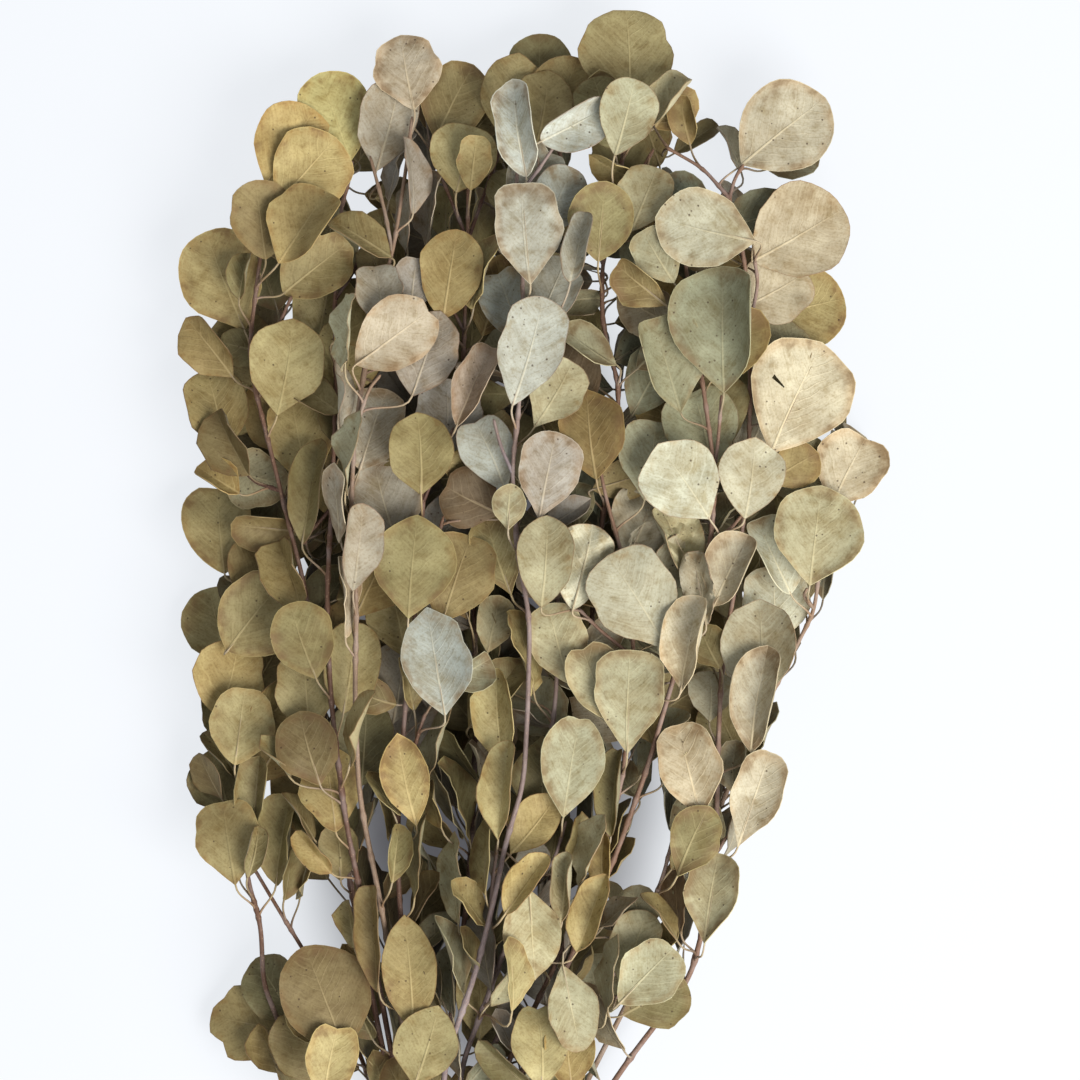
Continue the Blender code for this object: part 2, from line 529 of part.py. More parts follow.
class Leaf:
    """A blade bent over its midrib, with the stalk that roots it in its branch."""

    def __init__(self, centre, length, width, heading, tilt, form, draw):
        roll, left, right, curl, wave = FORMS[form]
        loose = 0.0 if form == "pressed" else 1.0
        self.length = length
        self.width = width
        self.folds = {
            -1: math.radians(left + loose * draw.uniform(-5, 5)),
            1: math.radians(right + loose * draw.uniform(-5, 5)),
        }
        self.curl = math.radians(curl + loose * draw.uniform(-10, 10))
        self.twist = math.radians(loose * draw.uniform(-12, 12))
        self.wave = wave
        self.phases = {-1: draw.uniform(0, math.tau), 1: draw.uniform(0, math.tau)}
        base_point, tip_point = points_at(centre[0], centre[1])
        self.wedge = draw.uniform(*base_point)
        self.blunt = draw.uniform(*tip_point)
        self.peak = self.wedge / (self.wedge + self.blunt)
        self.turn(centre, heading, tilt, math.radians(roll) + math.radians(loose * draw.uniform(-9, 9)))

    def turn(self, centre, heading, tilt, roll):
        """Set the blade's place: its axis, its side and its upper face's normal."""
        turned = math.radians(heading)
        self.axis = Vector((
            math.sin(turned) * math.cos(tilt),
            math.cos(turned) * math.cos(tilt),
            math.sin(tilt),
        ))
        level = Vector((math.cos(turned), -math.sin(turned), 0.0))
        upright = level.cross(self.axis)
        self.side = level * math.cos(roll) + upright * math.sin(roll)
        self.normal = self.side.cross(self.axis)
        self.base = Vector(centre) - self.axis * (self.length * 0.5)

    def half_width(self, along):
        """Half the blade's width at a share of its length."""
        peak = self.peak ** self.wedge * (1.0 - self.peak) ** self.blunt
        return self.width / 2 * along ** self.wedge * (1.0 - along) ** self.blunt / peak

    def place(self, along, side, reach):
        """A point on the middle of the blade, reach millimetres out from the midrib."""
        bend = self.curl * along
        if abs(self.curl) < 0.001:
            y, z = self.length * along, 0.0
        else:
            radius = self.length / self.curl
            y, z = radius * math.sin(bend), radius * (math.cos(bend) - 1.0)
        fold = self.folds[side]
        start = fold * 0.4
        growth = fold * 1.2 / (self.width / 2)
        if abs(growth) < 0.0001:
            out, lift = reach, 0.0
        else:
            out = (math.sin(start + growth * reach) - math.sin(start)) / growth
            lift = (math.cos(start) - math.cos(start + growth * reach)) / growth
        share = reach / (self.width / 2)
        lift += self.wave * share * share * math.sin(7.5 * along + self.phases[side])
        turned = self.twist * (along - 0.3)
        x = side * out * math.cos(turned) - lift * math.sin(turned)
        up = side * out * math.sin(turned) + lift * math.cos(turned)
        return (
            self.base
            + self.side * x
            + self.axis * (y + up * math.sin(bend))
            + self.normal * (z + up * math.cos(bend))
        )

    def rim(self, stations):
        """The blade's outline from the right of its base, round the tip, to the left."""
        right = [self.place(along, 1, self.half_width(along)) for along in stations]
        left = [self.place(along, -1, self.half_width(along)) for along in reversed(stations)]
        return right + [self.place(1.0, 1, 0.0)] + left

    def root_in(self, places):
        """Choose where the stalk leaves the branch, and bend the stalk to the blade."""
        def unsuited(place):
            way = self.base - place[0]
            reach = way.length
            facing = way.dot(self.axis) / reach if reach > 0.001 else 0.0
            return abs(reach - STALK_REACH) + 26.0 * (1.0 - facing)

        root, direction = min(places, key=unsuited)
        self.root = root
        reach = (self.base - root).length
        out = (self.base - root).normalized() * 0.6 + direction * 0.4
        self.handles = (root + out * reach * 0.35, self.base - self.axis * reach * 0.35)
        return reach

    def stalk(self, share):
        """A point along the stalk, 0 at its root and 1 at the blade."""
        rest = 1.0 - share
        first, second = self.handles
        return (
            self.root * rest ** 3
            + first * (3 * share * rest * rest)
            + second * (3 * share * share * rest)
            + self.base * share ** 3
        )


def leaf_solid(leaf, stations, bends, grow, stalked=True):
    """The leaf as a closed solid: points and faces. Both faces are split alike, as fans."""
    half = LEAF_THICKNESS / 2 + grow
    width = STALK_RADIUS + grow
    rim = [leaf.base + leaf.side * width] + leaf.rim(stations) + [leaf.base - leaf.side * width]
    middle = leaf.place(0.5, 1, 0.0)
    count = len(rim)
    normals = [Vector() for _ in range(count + 1)]
    for index in range(count):
        after = (index + 1) % count
        across = (rim[index] - middle).cross(rim[after] - middle)
        for corner in (index, after, count):
            normals[corner] += across
    normals = [normal.normalized() for normal in normals]
    normals[0] = leaf.normal
    normals[count - 1] = leaf.normal

    points = [place + normal * half for place, normal in zip(rim, normals)]
    points.append(middle + normals[count] * half)
    faces = [(count, index, (index + 1) % count) for index in range(count)]
    low_base = len(points)
    points.append(leaf.base - leaf.normal * (half + 0.45 * STALK_RADIUS))
    points.extend(rim[index] - normals[index] * half for index in range(1, count - 1))
    low_middle = len(points)
    points.append(middle - normals[count] * half)
    low = list(range(low_base, low_middle)) + [low_base]
    for index in range(count - 1):
        faces.append((low_middle, low[index + 1], low[index]))
        faces.append((low[index], low[index + 1], index + 1))
        faces.append((low[index], index + 1, index))
    if not stalked:
        faces.append((0, count - 1, low_base))
        return points, faces

    ring = (0, count - 1, low_base)
    for step in range(bends - 1, -1, -1):
        share = step / bends
        place = leaf.stalk(share)
        ahead = (leaf.stalk(min(1.0, share + 0.1)) - place).normalized()
        across = (leaf.side - ahead * leaf.side.dot(ahead)).normalized()
        upright = across.cross(ahead)
        size = width * (0.85 if step == 0 else 1.0)
        first = len(points)
        points.append(place + across * size + upright * size * 0.5)
        points.append(place - across * size + upright * size * 0.5)
        points.append(place - upright * size)
        right, left, low = ring
        new_right, new_left, new_low = first, first + 1, first + 2
        faces.extend([(right, left, new_left), (right, new_left, new_right)])
        faces.extend([(low, right, new_right), (low, new_right, new_low)])
        faces.extend([(left, low, new_low), (left, new_low, new_left)])
        ring = (new_right, new_left, new_low)
    faces.append(ring)
    return points, faces


def bounds_of(points):
    """The lowest and highest corner of a set of points."""
    low = Vector([min(point[axis] for point in points) for axis in range(3)])
    high = Vector([max(point[axis] for point in points) for axis in range(3)])
    return low, high


class Placed:
    """A solid that is already in the bunch, for testing what comes next against it."""

    def __init__(self, branch, points, faces):
        self.branch = branch
        self.blade = self
        self.low, self.high = bounds_of(points)
        self.tree = BVHTree.FromPolygons([tuple(point) for point in points], faces)

    def meets(self, other):
        """True where the two solids' surfaces cross."""
        for axis in range(3):
            if self.low[axis] > other.high[axis] or self.high[axis] < other.low[axis]:
                return False
        return bool(self.tree.overlap(other.tree))


def tube_solid(points, radii, sides):
    """A closed tube along a run of points."""
    rings = []
    upright = Vector((0.0, 0.0, 1.0))
    solid_points = []
    for index, (point, radius) in enumerate(zip(points, radii)):
        before = points[max(0, index - 1)]
        after = points[min(len(points) - 1, index + 1)]
        ahead = (after - before).normalized()
        across = ahead.cross(upright).normalized()
        upward = across.cross(ahead)
        first = len(solid_points)
        for side in range(sides):
            turn = math.tau * (side + 0.5) / sides
            solid_points.append(point + (across * math.cos(turn) + upward * math.sin(turn)) * radius)
        rings.append(range(first, first + sides))
    faces = [tuple(rings[0]), tuple(reversed(rings[-1]))]
    for ring, after in zip(rings, rings[1:]):
        for side in range(sides):
            beside = (side + 1) % sides
            faces.append((ring[side], after[side], after[beside], ring[beside]))
    return solid_points, faces


def taper(points, low, tip):
    """Radii from low to tip along a run of points."""
    last = len(points) - 1
    return [low + (tip - low) * index / last for index in range(last + 1)]


class Grown:
    """A branch as it is laid out: its wood, and the leaves that are placed on it."""

    def __init__(self, name, plan, draw):
        self.name = name
        self.leaves = []
        self.runs = [stem_points(plan, draw)]
        self.radii = [taper(self.runs[0], STEM_RADIUS_LOW, STEM_RADIUS_TIP)]
        main = walk(self.runs[0], ROOT_STEP)
        for twig in plan["twigs"]:
            points = [in_pile(*place) for place in twig]
            root = min(main, key=lambda place: (place[0] - points[0]).length)[0]
            points[0] = root
            self.runs.append(points)
            self.radii.append(taper(points, TWIG_RADIUS_ROOT, TWIG_RADIUS_TIP))
        self.places = []
        for run in self.runs:
            self.places.extend(place for place in walk(run, ROOT_STEP) if place[0].y > LEAFY_FROM_Y)

    def wood(self, grow):
        """The stem and the twigs as separate solids."""
        solids = []
        for index, (run, radii) in enumerate(zip(self.runs, self.radii)):
            sides = 5 if index == 0 else 4
            solids.append(tube_solid(run, [radius + grow for radius in radii], sides))
        return solids


def inside(outline, x, y):
    """True for a place inside a closed outline."""
    found = False
    for (x1, y1), (x2, y2) in zip(outline, outline[1:] + outline[:1]):
        if (y1 > y) != (y2 > y) and x < x1 + (y - y1) / (y2 - y1) * (x2 - x1):
            found = not found
    return found


def cover(cells, leaf, stations):
    """Count the cells of the plan that a leaf covers."""
    shape = [(point.x, point.y) for point in [leaf.base] + leaf.rim(stations)]
    columns = [x / CELL for x, _ in shape]
    rows = [y / CELL for _, y in shape]
    for column in range(math.floor(min(columns)), math.ceil(max(columns)) + 1):
        for row in range(math.floor(min(rows)), math.ceil(max(rows)) + 1):
            if (column, row) in cells and inside(shape, column * CELL, row * CELL):
                cells[(column, row)] += 1


def hides_gap(shape):
    """True for a leaf's shape in plan that lies over a place where the table shows."""
    for x, y, reach in GAPS:
        for turn in range(5):
            out = GAP_TEST_SHARE * reach if turn else 0.0
            place = (x + out * math.cos(turn * math.pi / 2), y + out * math.sin(turn * math.pi / 2))
            if inside(shape, *place):
                return True
    return False


class Bunch:
    """All the branches, and the rules by which leaves find their place among them."""

    def __init__(self):
        self.branches = {}
        self.placed = []
        for number, (name, plan) in enumerate(BRANCHES.items()):
            branch = Grown(name, plan, random.Random(SEED + number))
            self.branches[name] = branch
            for points, faces in branch.wood(CLEARANCE):
                self.placed.append(Placed(name, points, faces))

    def fits(self, branch, leaf, stations, bends):
        """True where a leaf is clear of the table, other branches and its own blades."""
        points, faces = leaf_solid(leaf, stations, bends, 0.0)
        if min(point.z for point in points) < -0.6:
            return False
        points, faces = leaf_solid(leaf, stations, bends, CLEARANCE)
        whole = Placed(branch.name, points, faces)
        points, faces = leaf_solid(leaf, stations, bends, CLEARANCE, stalked=False)
        whole.blade = Placed(branch.name, points, faces)
        for other in self.placed:
            if other.branch != branch.name:
                if whole.meets(other):
                    return False
            elif whole.blade.meets(other) or other.blade is not other and whole.meets(other.blade):
                return False
        self.placed.append(whole)
        branch.leaves.append((leaf, stations, bends))
        return True

    def lay(self, name, plan, number):
        """Lay a leaf where it is drawn, lifting, sinking or turning it until it is clear."""
        x, y, length, width, heading, depth, form = plan
        branch = self.branches[name]
        draw = random.Random(SEED * 1000 + number)
        height = in_pile(x, y, depth).z
        up = 1 if depth > 0.8 else -1
        for attempt in range(ATTEMPTS):
            loose = attempt / ATTEMPTS
            lift = up * (attempt + 1) // 2 * LIFT_STEP * (1 if attempt % 2 else -1)
            turned = heading + draw.uniform(-LOOSEST_TURN, LOOSEST_TURN) * loose
            tilt = draw.uniform(-6, 8) + draw.uniform(-LOOSEST_TURN, LOOSEST_TURN) * loose
            size = DRAWN_GROWTH * (1.0 - LOOSEST_SHRINK * loose)
            centre = (
                x + draw.uniform(-LOOSEST_SHIFT, LOOSEST_SHIFT) * loose,
                y + draw.uniform(-LOOSEST_SHIFT, LOOSEST_SHIFT) * loose,
                height + lift,
            )
            leaf = Leaf(centre, length * size, width * size, turned, math.radians(tilt), form, draw)
            if leaf.root_in(branch.places) < SHORTEST_STALK:
                continue
            shown = depth > SHOWN_DEPTH
            stations = SHOWN_STATIONS if shown else HIDDEN_STATIONS
            if self.fits(branch, leaf, stations, 2 if shown else 1):
                return True
        return False

    def press(self, name, place, number):
        """Lay a leaf flat on the table, under the bunch."""
        x, y, heading = place
        branch = self.branches[name]
        draw = random.Random(SEED * 2000 + number)
        for attempt in range(ATTEMPTS):
            loose = attempt / ATTEMPTS
            centre = (
                x + draw.uniform(-2, 2) * LOOSEST_SHIFT * loose,
                y + draw.uniform(-2, 2) * LOOSEST_SHIFT * loose,
                LEAF_THICKNESS / 2,
            )
            turned = heading + draw.uniform(-LOOSEST_TURN, LOOSEST_TURN) * loose
            leaf = Leaf(centre, PRESSED_LENGTH, PRESSED_WIDTH, turned, 0.0, "pressed", draw)
            leaf.root_in(branch.places)
            if self.fits(branch, leaf, SHOWN_STATIONS, 2):
                return True
        return False

    def sow(self):
        """Fill what the drawn leaves leave open with hidden ones, from a seeded draw."""
        draw = random.Random(SEED)
        cells = {}
        for column in range(round(-180 / CELL), round(180 / CELL)):
            for row in range(round(-48 / CELL), round(530 / CELL)):
                x, y = column * CELL, row * CELL
                in_gap = any(math.hypot(x - gx, y - gy) < reach for gx, gy, reach in GAPS)
                if inside(OUTLINE, x, y) and not in_gap:
                    cells[(column, row)] = 0
        for branch in self.branches.values():
            for leaf, stations, _ in branch.leaves:
                cover(cells, leaf, stations)
        sown = 0
        for _ in range(SOWING_TRIES):
            if sown == HIDDEN_LEAVES:
                break
            least = min(cells.values())
            column, row = draw.choice([cell for cell, count in cells.items() if count == least])
            leaf = self.sow_at(column * CELL, row * CELL, draw)
            if leaf is None:
                cells[(column, row)] += 1
                continue
            cover(cells, leaf, HIDDEN_STATIONS)
            sown += 1
        return sown

    def sow_at(self, x, y, draw):
        """Try to grow one hidden leaf over a place, from the branches that pass near it."""
        near = []
        for branch in self.branches.values():
            for place, _ in branch.places:
                reach = math.hypot(x - place.x, y - place.y)
                if NEAREST_WOOD < reach < FARTHEST_WOOD and y - place.y > 0.2 * reach:
                    near.append((reach + draw.uniform(0.0, 30.0), branch.name, place.x, place.y, place.z))
        for reach, name, root_x, root_y, root_z in sorted(near)[:HIDDEN_ATTEMPTS]:
            length = draw.uniform(*HIDDEN_LENGTH)
            width = length * draw.uniform(*HIDDEN_SHAPE)
            heading = math.degrees(math.atan2(x - root_x, y - root_y)) + draw.uniform(-15, 15)
            form = draw.choice(LOW_FORMS if y < LOW_LEAVES_Y else HIDDEN_FORMS)
            if y < LOW_LEAVES_Y:
                heading *= LOW_TURN_SHARE
            height = draw.uniform(*HIDDEN_HEIGHT) * pile_height(x, y)
            centre = (x, y, max(5.0, 0.5 * height + 0.5 * min(root_z, height)))
            tilt = math.radians(draw.uniform(-HIDDEN_TILT, HIDDEN_TILT))
            leaf = Leaf(centre, length, width, heading, tilt, form, draw)
            if not SHORTEST_STALK < leaf.root_in(self.branches[name].places) < LONGEST_STALK:
                continue
            shape = [(point.x, point.y) for point in [leaf.base] + leaf.rim(HIDDEN_STATIONS)]
            if not all(inside(OUTLINE, *place) for place in shape[1:]):
                continue
            if hides_gap(shape):
                continue
            if self.fits(self.branches[name], leaf, HIDDEN_STATIONS, 1):
                return leaf
        return None

    def grow(self):
        """Lay the pressed leaves, the drawn ones from the top of the pile down, and the hidden ones."""
        number = 0
        for name, places in PRESSED.items():
            for place in places:
                number += 1
                self.press(name, place, number)
        drawn = []
        for name, plan in BRANCHES.items():
            for leaf in plan["leaves"]:
                drawn.append((name, leaf, len(drawn)))
        for name, leaf, index in sorted(drawn, key=lambda entry: -entry[1][5]):
            self.lay(name, leaf, index)
        self.sow()


def new_object(name, points, faces, collection):
    """A mesh object from points in millimetres."""
    mesh = bpy.data.meshes.new(name)
    mesh.from_pydata([tuple(point * MILLIMETRE) for point in points], [], faces)
    mesh.update()
    solid = bpy.data.objects.new(name, mesh)
    collection.objects.link(solid)
    return solid


def join_all(body, repeats, solver):
    """Join a collection's solids into one body, and remove the collection."""
    union = body.modifiers.new("join", "BOOLEAN")
    union.operation = "UNION"
    union.operand_type = "COLLECTION"
    union.collection = repeats
    union.solver = solver
    bpy.context.view_layer.objects.active = body
    bpy.ops.object.modifier_apply(modifier=union.name)
    for solid in list(repeats.objects):
        bpy.data.objects.remove(solid)
    bpy.data.collections.remove(repeats)


def finish(name, colour, roughness):
    """A plain material of the part's colour."""
    material = bpy.data.materials.new(name)
    material.use_nodes = True
    shader = material.node_tree.nodes["Principled BSDF"]
    shader.inputs["Base Color"].default_value = (*colour, 1.0)
    shader.inputs["Roughness"].default_value = roughness
    shader.inputs["Metallic"].default_value = 0.0
    return material


def build_branch(branch):
    """One branch as one solid: its wood and its leaves joined."""
    repeats = bpy.data.collections.new(branch.name + "_repeats")
    bpy.context.scene.collection.children.link(repeats)
    wood = branch.wood(0.0)
    body = new_object(branch.name, *wood[0], bpy.context.scene.collection)
    for number, (points, faces) in enumerate(wood[1:]):
        new_object(f"{branch.name}_twig_{number}", points, faces, repeats)
    for number, (leaf, stations, bends) in enumerate(branch.leaves):
        points, faces = leaf_solid(leaf, stations, bends, 0.0)
        for point in points:
            point.z = max(point.z, 0.0)
        new_object(f"{branch.name}_leaf_{number}", points, faces, repeats)
    join_all(body, repeats, "MANIFOLD")
    body.data.materials.clear()
    body.data.materials.append(finish(branch.name, *COLOURS[branch.name]))
    return body


def rounded_outline(half_width, half_height, corner):
    """A rectangle with round corners, as (x, z) places about its middle, anticlockwise from +X."""
    places = []
    for quarter, (sign_x, sign_z) in enumerate(((1, 1), (-1, 1), (-1, -1), (1, -1))):
        for step in range(TIE_CORNER_STEPS + 1):
            turn = math.pi / 2 * (quarter + step / TIE_CORNER_STEPS)
            x = sign_x * (half_width - corner) + corner * math.cos(turn)
            z = sign_z * (half_height - corner) + corner * math.sin(turn)
            places.append((x, z))
    return places


def build_tie():
    """The twine round the stems as one closed band, with its knot on top."""
    corner = STEM_RADIUS_LOW + TIE_GAP
    hole_height = (STEM_ROWS - 1) / 2 * STEM_ROW_PITCH + corner
    hole_width = ((STEMS_IN_A_ROW - 1) / 2 + ROW_SHIFT) * STEM_PITCH + corner
    middle = TIE_WALL + hole_height
    inner = rounded_outline(hole_width, hole_height, corner)
    outer = rounded_outline(hole_width + TIE_WALL, hole_height + TIE_WALL, corner + TIE_WALL)
    points = []
    for outline in (outer, inner):
        for y in (TIE_Y - TIE_LENGTH / 2, TIE_Y + TIE_LENGTH / 2):
            points.extend(Vector((TIE_X + x, y, middle + z)) for x, z in outline)
    count = len(outer)
    faces = []
    for index in range(count):
        beside = (index + 1) % count
        front, back, front_in, back_in = (index + count * ring for ring in range(4))
        front_next, back_next, front_in_next, back_in_next = (beside + count * ring for ring in range(4))
        faces.append((front, front_next, back_next, back))
        faces.append((front_in, back_in, back_in_next, front_in_next))
        faces.append((front, front_in, front_in_next, front_next))
        faces.append((back, back_next, back_in_next, back_in))
    repeats = bpy.data.collections.new("tie_knot")
    bpy.context.scene.collection.children.link(repeats)
    band = new_object("tie", points, [tuple(reversed(face)) for face in faces], bpy.context.scene.collection)
    knot_height = 2 * middle + KNOT_RADIUS - KNOT_SINK
    bpy.ops.mesh.primitive_uv_sphere_add(
        segments=8,
        ring_count=5,
        radius=KNOT_RADIUS * MILLIMETRE,
        location=Vector((TIE_X, TIE_Y, knot_height)) * MILLIMETRE,
    )
    knot = bpy.context.object
    for link in list(knot.users_collection):
        link.objects.unlink(knot)
    repeats.objects.link(knot)
    join_all(band, repeats, "EXACT")
    band.data.materials.clear()
    band.data.materials.append(finish("tie", *COLOURS["tie"]))
    return band


def settle(objects):
    """Move the bunch so that the middle of its box stands over the origin, lowest point at 0."""
    corners = [vertex.co for solid in objects for vertex in solid.data.vertices]
    low, high = bounds_of(corners)
    shift = Vector((-(low.x + high.x) / 2, -(low.y + high.y) / 2, -low.z))
    for solid in objects:
        solid.location = shift


def main():
    for leftover in list(bpy.data.objects):
        bpy.data.objects.remove(leftover)
    bunch = Bunch()
    bunch.grow()
    objects = [build_branch(branch) for branch in bunch.branches.values()]
    objects.append(build_tie())
    settle(objects)


main()
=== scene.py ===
import math
import random

import bpy
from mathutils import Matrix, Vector, noise
from mathutils.bvhtree import BVHTree


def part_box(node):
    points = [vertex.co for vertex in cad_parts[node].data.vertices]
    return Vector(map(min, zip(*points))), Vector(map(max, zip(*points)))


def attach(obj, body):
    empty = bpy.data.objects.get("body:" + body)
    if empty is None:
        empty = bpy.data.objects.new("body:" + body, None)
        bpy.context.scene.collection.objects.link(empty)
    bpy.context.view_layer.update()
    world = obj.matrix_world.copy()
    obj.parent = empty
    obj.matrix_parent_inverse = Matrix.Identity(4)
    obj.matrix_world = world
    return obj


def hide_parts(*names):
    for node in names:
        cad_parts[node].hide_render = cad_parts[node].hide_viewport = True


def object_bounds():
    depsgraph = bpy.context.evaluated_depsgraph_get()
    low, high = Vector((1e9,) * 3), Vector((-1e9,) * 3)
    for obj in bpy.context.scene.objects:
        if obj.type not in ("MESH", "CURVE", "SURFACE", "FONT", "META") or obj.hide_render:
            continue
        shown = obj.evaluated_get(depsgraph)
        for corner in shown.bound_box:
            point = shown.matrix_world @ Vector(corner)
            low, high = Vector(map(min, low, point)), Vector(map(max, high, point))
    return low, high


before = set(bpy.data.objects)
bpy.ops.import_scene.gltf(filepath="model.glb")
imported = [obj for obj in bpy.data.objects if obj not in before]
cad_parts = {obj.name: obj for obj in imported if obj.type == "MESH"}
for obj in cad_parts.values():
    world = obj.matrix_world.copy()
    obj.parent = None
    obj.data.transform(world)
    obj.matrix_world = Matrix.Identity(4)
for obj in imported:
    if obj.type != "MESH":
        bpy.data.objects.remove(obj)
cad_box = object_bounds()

# Sizes in millimetres
LEAF_THICKNESS = 0.7
STALK_RADIUS = 0.62
STEM_RADIUS_LOW = 1.7
STEM_RADIUS_TIP = 0.9
TWIG_RADIUS_ROOT = 1.0
TWIG_RADIUS_TIP = 0.8
CLEARANCE = 0.35
# The plain solids by which leaves are tried against each other: the sides of stems and twigs,
# and, beside a stalk's radius, the blade's depth at its base, the stalk's size at its root and
# the height of its upper corners; and how far along it its direction is read
PLAIN_STEM_SIDES = 5
PLAIN_TWIG_SIDES = 4
BASE_DEPTH = 0.45
ROOT_SIZE = 0.85
CORNER_HEIGHT = 0.5
LOOK_AHEAD = 0.1

# The pile of leaves: its cross section, where along it the height is full, what is left of that
# at its ends, and how far above the table the lowest wood lies
PILE_MIDDLE = -5.0
PILE_HALF_WIDTH = 200.0
PILE_HEIGHT_MIDDLE = 68.0
PILE_HEIGHT_EDGE = 20.0
PILE_LOW_END = -60.0
PILE_FULL_LOW = 60.0
PILE_FULL_TOP = 420.0
PILE_TOP_END = 545.0
PILE_LOW_SHARE = 0.5
PILE_TOP_SHARE = 0.55
PILE_BED = 1.0

# The tie round the stems, and how the stems lie inside it and end below it
TIE_X = -38.0
TIE_Y = -130.0
TIE_LENGTH = 11.0
TIE_WALL = 1.8
TIE_GAP = 0.4
STEM_PITCH = 3.95
STEM_ROW_PITCH = 3.75
STEMS_IN_A_ROW = 5
STEM_ROWS = 3
ROW_SHIFT = 0.25
STEM_STRAIGHT = 10.0
STEM_END_Y = -198.0
STEM_END_SPREAD = 1.45
STEM_END_STAGGER = 9.0
MILLIMETRE = 0.001

# Stalks: how far they reach at best, at least and at most, how many millimetres of reach it is
# worth to face away from the root, how much a stalk starts towards its blade instead of along
# the wood, and how far it keeps to its first and last direction
STALK_REACH = 13.0
SHORTEST_STALK = 4.0
LONGEST_STALK = 42.0
STALK_STRAIGHTNESS = 26.0
STALK_WAY_OUT = 0.6
HANDLE_SHARE = 0.35
# Where stalks may root: how far from a tip, how far apart, and from where in the plan
ROOT_SINK = 2.0
ROOT_STEP = 4.0
LEAFY_FROM_Y = -40.0

# The plan is searched for open places in cells. A leaf is kept off a gap's middle and off four
# places round it, at a share of its radius.
CELL = 6.0
PLAN_X = (-180, 180)
PLAN_Y = (-48, 530)
GAP_TEST_SHARE = 0.7
# Towards the stems, leaves inside the pile stand on edge and turn nearer to +Y
LOW_FORMS = ("edge", "edge_left", "fold", "cup", "edge", "fold_left")
LOW_LEAVES_Y = 175.0
LOW_TURN_SHARE = 0.5
# How leaves inside the pile are sown: their number and the tries; how far off the wood may be,
# how much it must lie below the leaf and how loosely the nearest is chosen; size, turn, form and
# height; and how far the height is the leaf's own or its root's. Of two lists of forms, both
# are drawn from and the last draw holds.
HIDDEN_FORMS = ("flat", "cup", "dome", "flat", "cup", "fold")
EXTRA_FORMS = (
    "flat", "cup", "dome", "droop", "fold", "edge", "edge_left", "curl_right", "curl_left", "flat",
)
HIDDEN_LEAVES = {
    "count": 79, "tries": 1500, "attempts": 14,
    "nearest": 14.0, "farthest": 52.0, "below": 0.2, "looseness": 30.0,
    "length": (34.0, 47.0), "shape": (0.72, 0.9), "turn": 15, "tilt": 14.0,
    "forms": (HIDDEN_FORMS,), "low_forms": (LOW_FORMS,),
    "height": (0.15, 0.8), "low_height": (0.15, 0.8), "lowest": 5.0, "own": 0.5, "of_root": 0.5,
}
EXTRA_LEAVES = {
    "count": 340, "tries": 3400, "attempts": 8,
    "nearest": 6.0, "farthest": 50.0, "below": -0.1, "looseness": 36.0,
    "length": (24.0, 44.0), "shape": (0.66, 0.9), "turn": 20, "tilt": 24,
    "forms": (EXTRA_FORMS,), "low_forms": (EXTRA_FORMS, LOW_FORMS),
    "height": (0.1, 0.86), "low_height": (0.4, 0.98), "lowest": 4.0, "own": 0.7, "of_root": 0.3,
}
# Where a plain blade's outline has its corners, as shares of its length, and the depth from which
# a leaf shows
SHOWN_STATIONS = (0.3, 0.64, 0.9)
HIDDEN_STATIONS = (0.4, 0.82)
SHOWN_DEPTH = 0.79
# How many pieces the stalk of a leaf that shows has, and of one that is hidden
SHOWN_BENDS = 2
HIDDEN_BENDS = 1
# How pointed a blade's base and tip are, from and to: 0.5 is round, 1 is a wedge.
# Leaves at the left edge and the top are round, and those low in the middle are pointed.
ROUND_LEAVES = ((0.52, 0.72), (0.42, 0.52))
WEDGE_LEAVES = ((0.66, 0.96), (0.42, 0.58))
POINTED_LEAVES = ((0.72, 1.0), (0.56, 0.8))
ROUND_LEFT_X = -72.0
ROUND_TOP_Y = 375.0
POINTED_X = (-72.0, 45.0)
POINTED_TOP_Y = 190.0
# How much larger the drawn leaves are laid than their sizes in the plan
DRAWN_GROWTH = 1.05
# How a leaf is loosened until it is clear of the others: the tries, the depth from which it is
# lifted first instead of sunk, the steps (mm), its tilt (degrees), and how far it may be turned
# (degrees), shifted (mm) and shrunk in the end
ATTEMPTS = 60
LIFTED_DEPTH = 0.8
LIFT_STEP = 1.5
DRAWN_TILT = (-6, 8)
LOOSEST_TURN = 24.0
LOOSEST_SHIFT = 6.0
LOOSEST_SHRINK = 0.12
PRESSED_SHIFT = 2
# The seed of the draws, and what it is multiplied by for the drawn and the pressed leaves
SEED = 41
DRAWN_SEEDS = 1000
PRESSED_SEEDS = 2000

# How a blade folds, waves and twists: its fold at the midrib and the fold's growth out to the
# rim, how often it waves along its length, and where along it the twist turns
FOLD_START = 0.4
FOLD_GROWTH = 1.2
WAVES = 7.5
TWIST_MIDDLE = 0.3
# How far one leaf's folds, curl, twist and roll may be from those of its form (degrees)
LOOSE_FOLD = 5
LOOSE_CURL = 10
LOOSE_TWIST = 12
LOOSE_ROLL = 9
# How far a blade may dip into the table before it is lifted (mm)
TABLE_DIP = 0.6
# Form of a blade: roll, fold of its left and right half, curl along it (degrees), waves (mm)
FORMS = {
    "flat": (0, 7, 7, 12, 1.3),
    "cup": (0, 20, 20, 18, 1.6),
    "dome": (0, -15, -15, 26, 1.2),
    "droop": (0, 10, 10, 55, 1.5),
    "fold": (22, 56, 50, 10, 1.0),
    "fold_left": (-22, 50, 56, 10, 1.0),
    "edge": (66, 14, 16, 12, 1.2),
    "edge_left": (-66, 16, 14, 12, 1.2),
    "curl_right": (0, 8, 66, 15, 1.4),
    "curl_left": (0, 66, 8, 15, 1.4),
    "tube": (8, 74, 70, 6, 0.5),
    "pressed": (0, 0, 0, 0, 0.0),
}

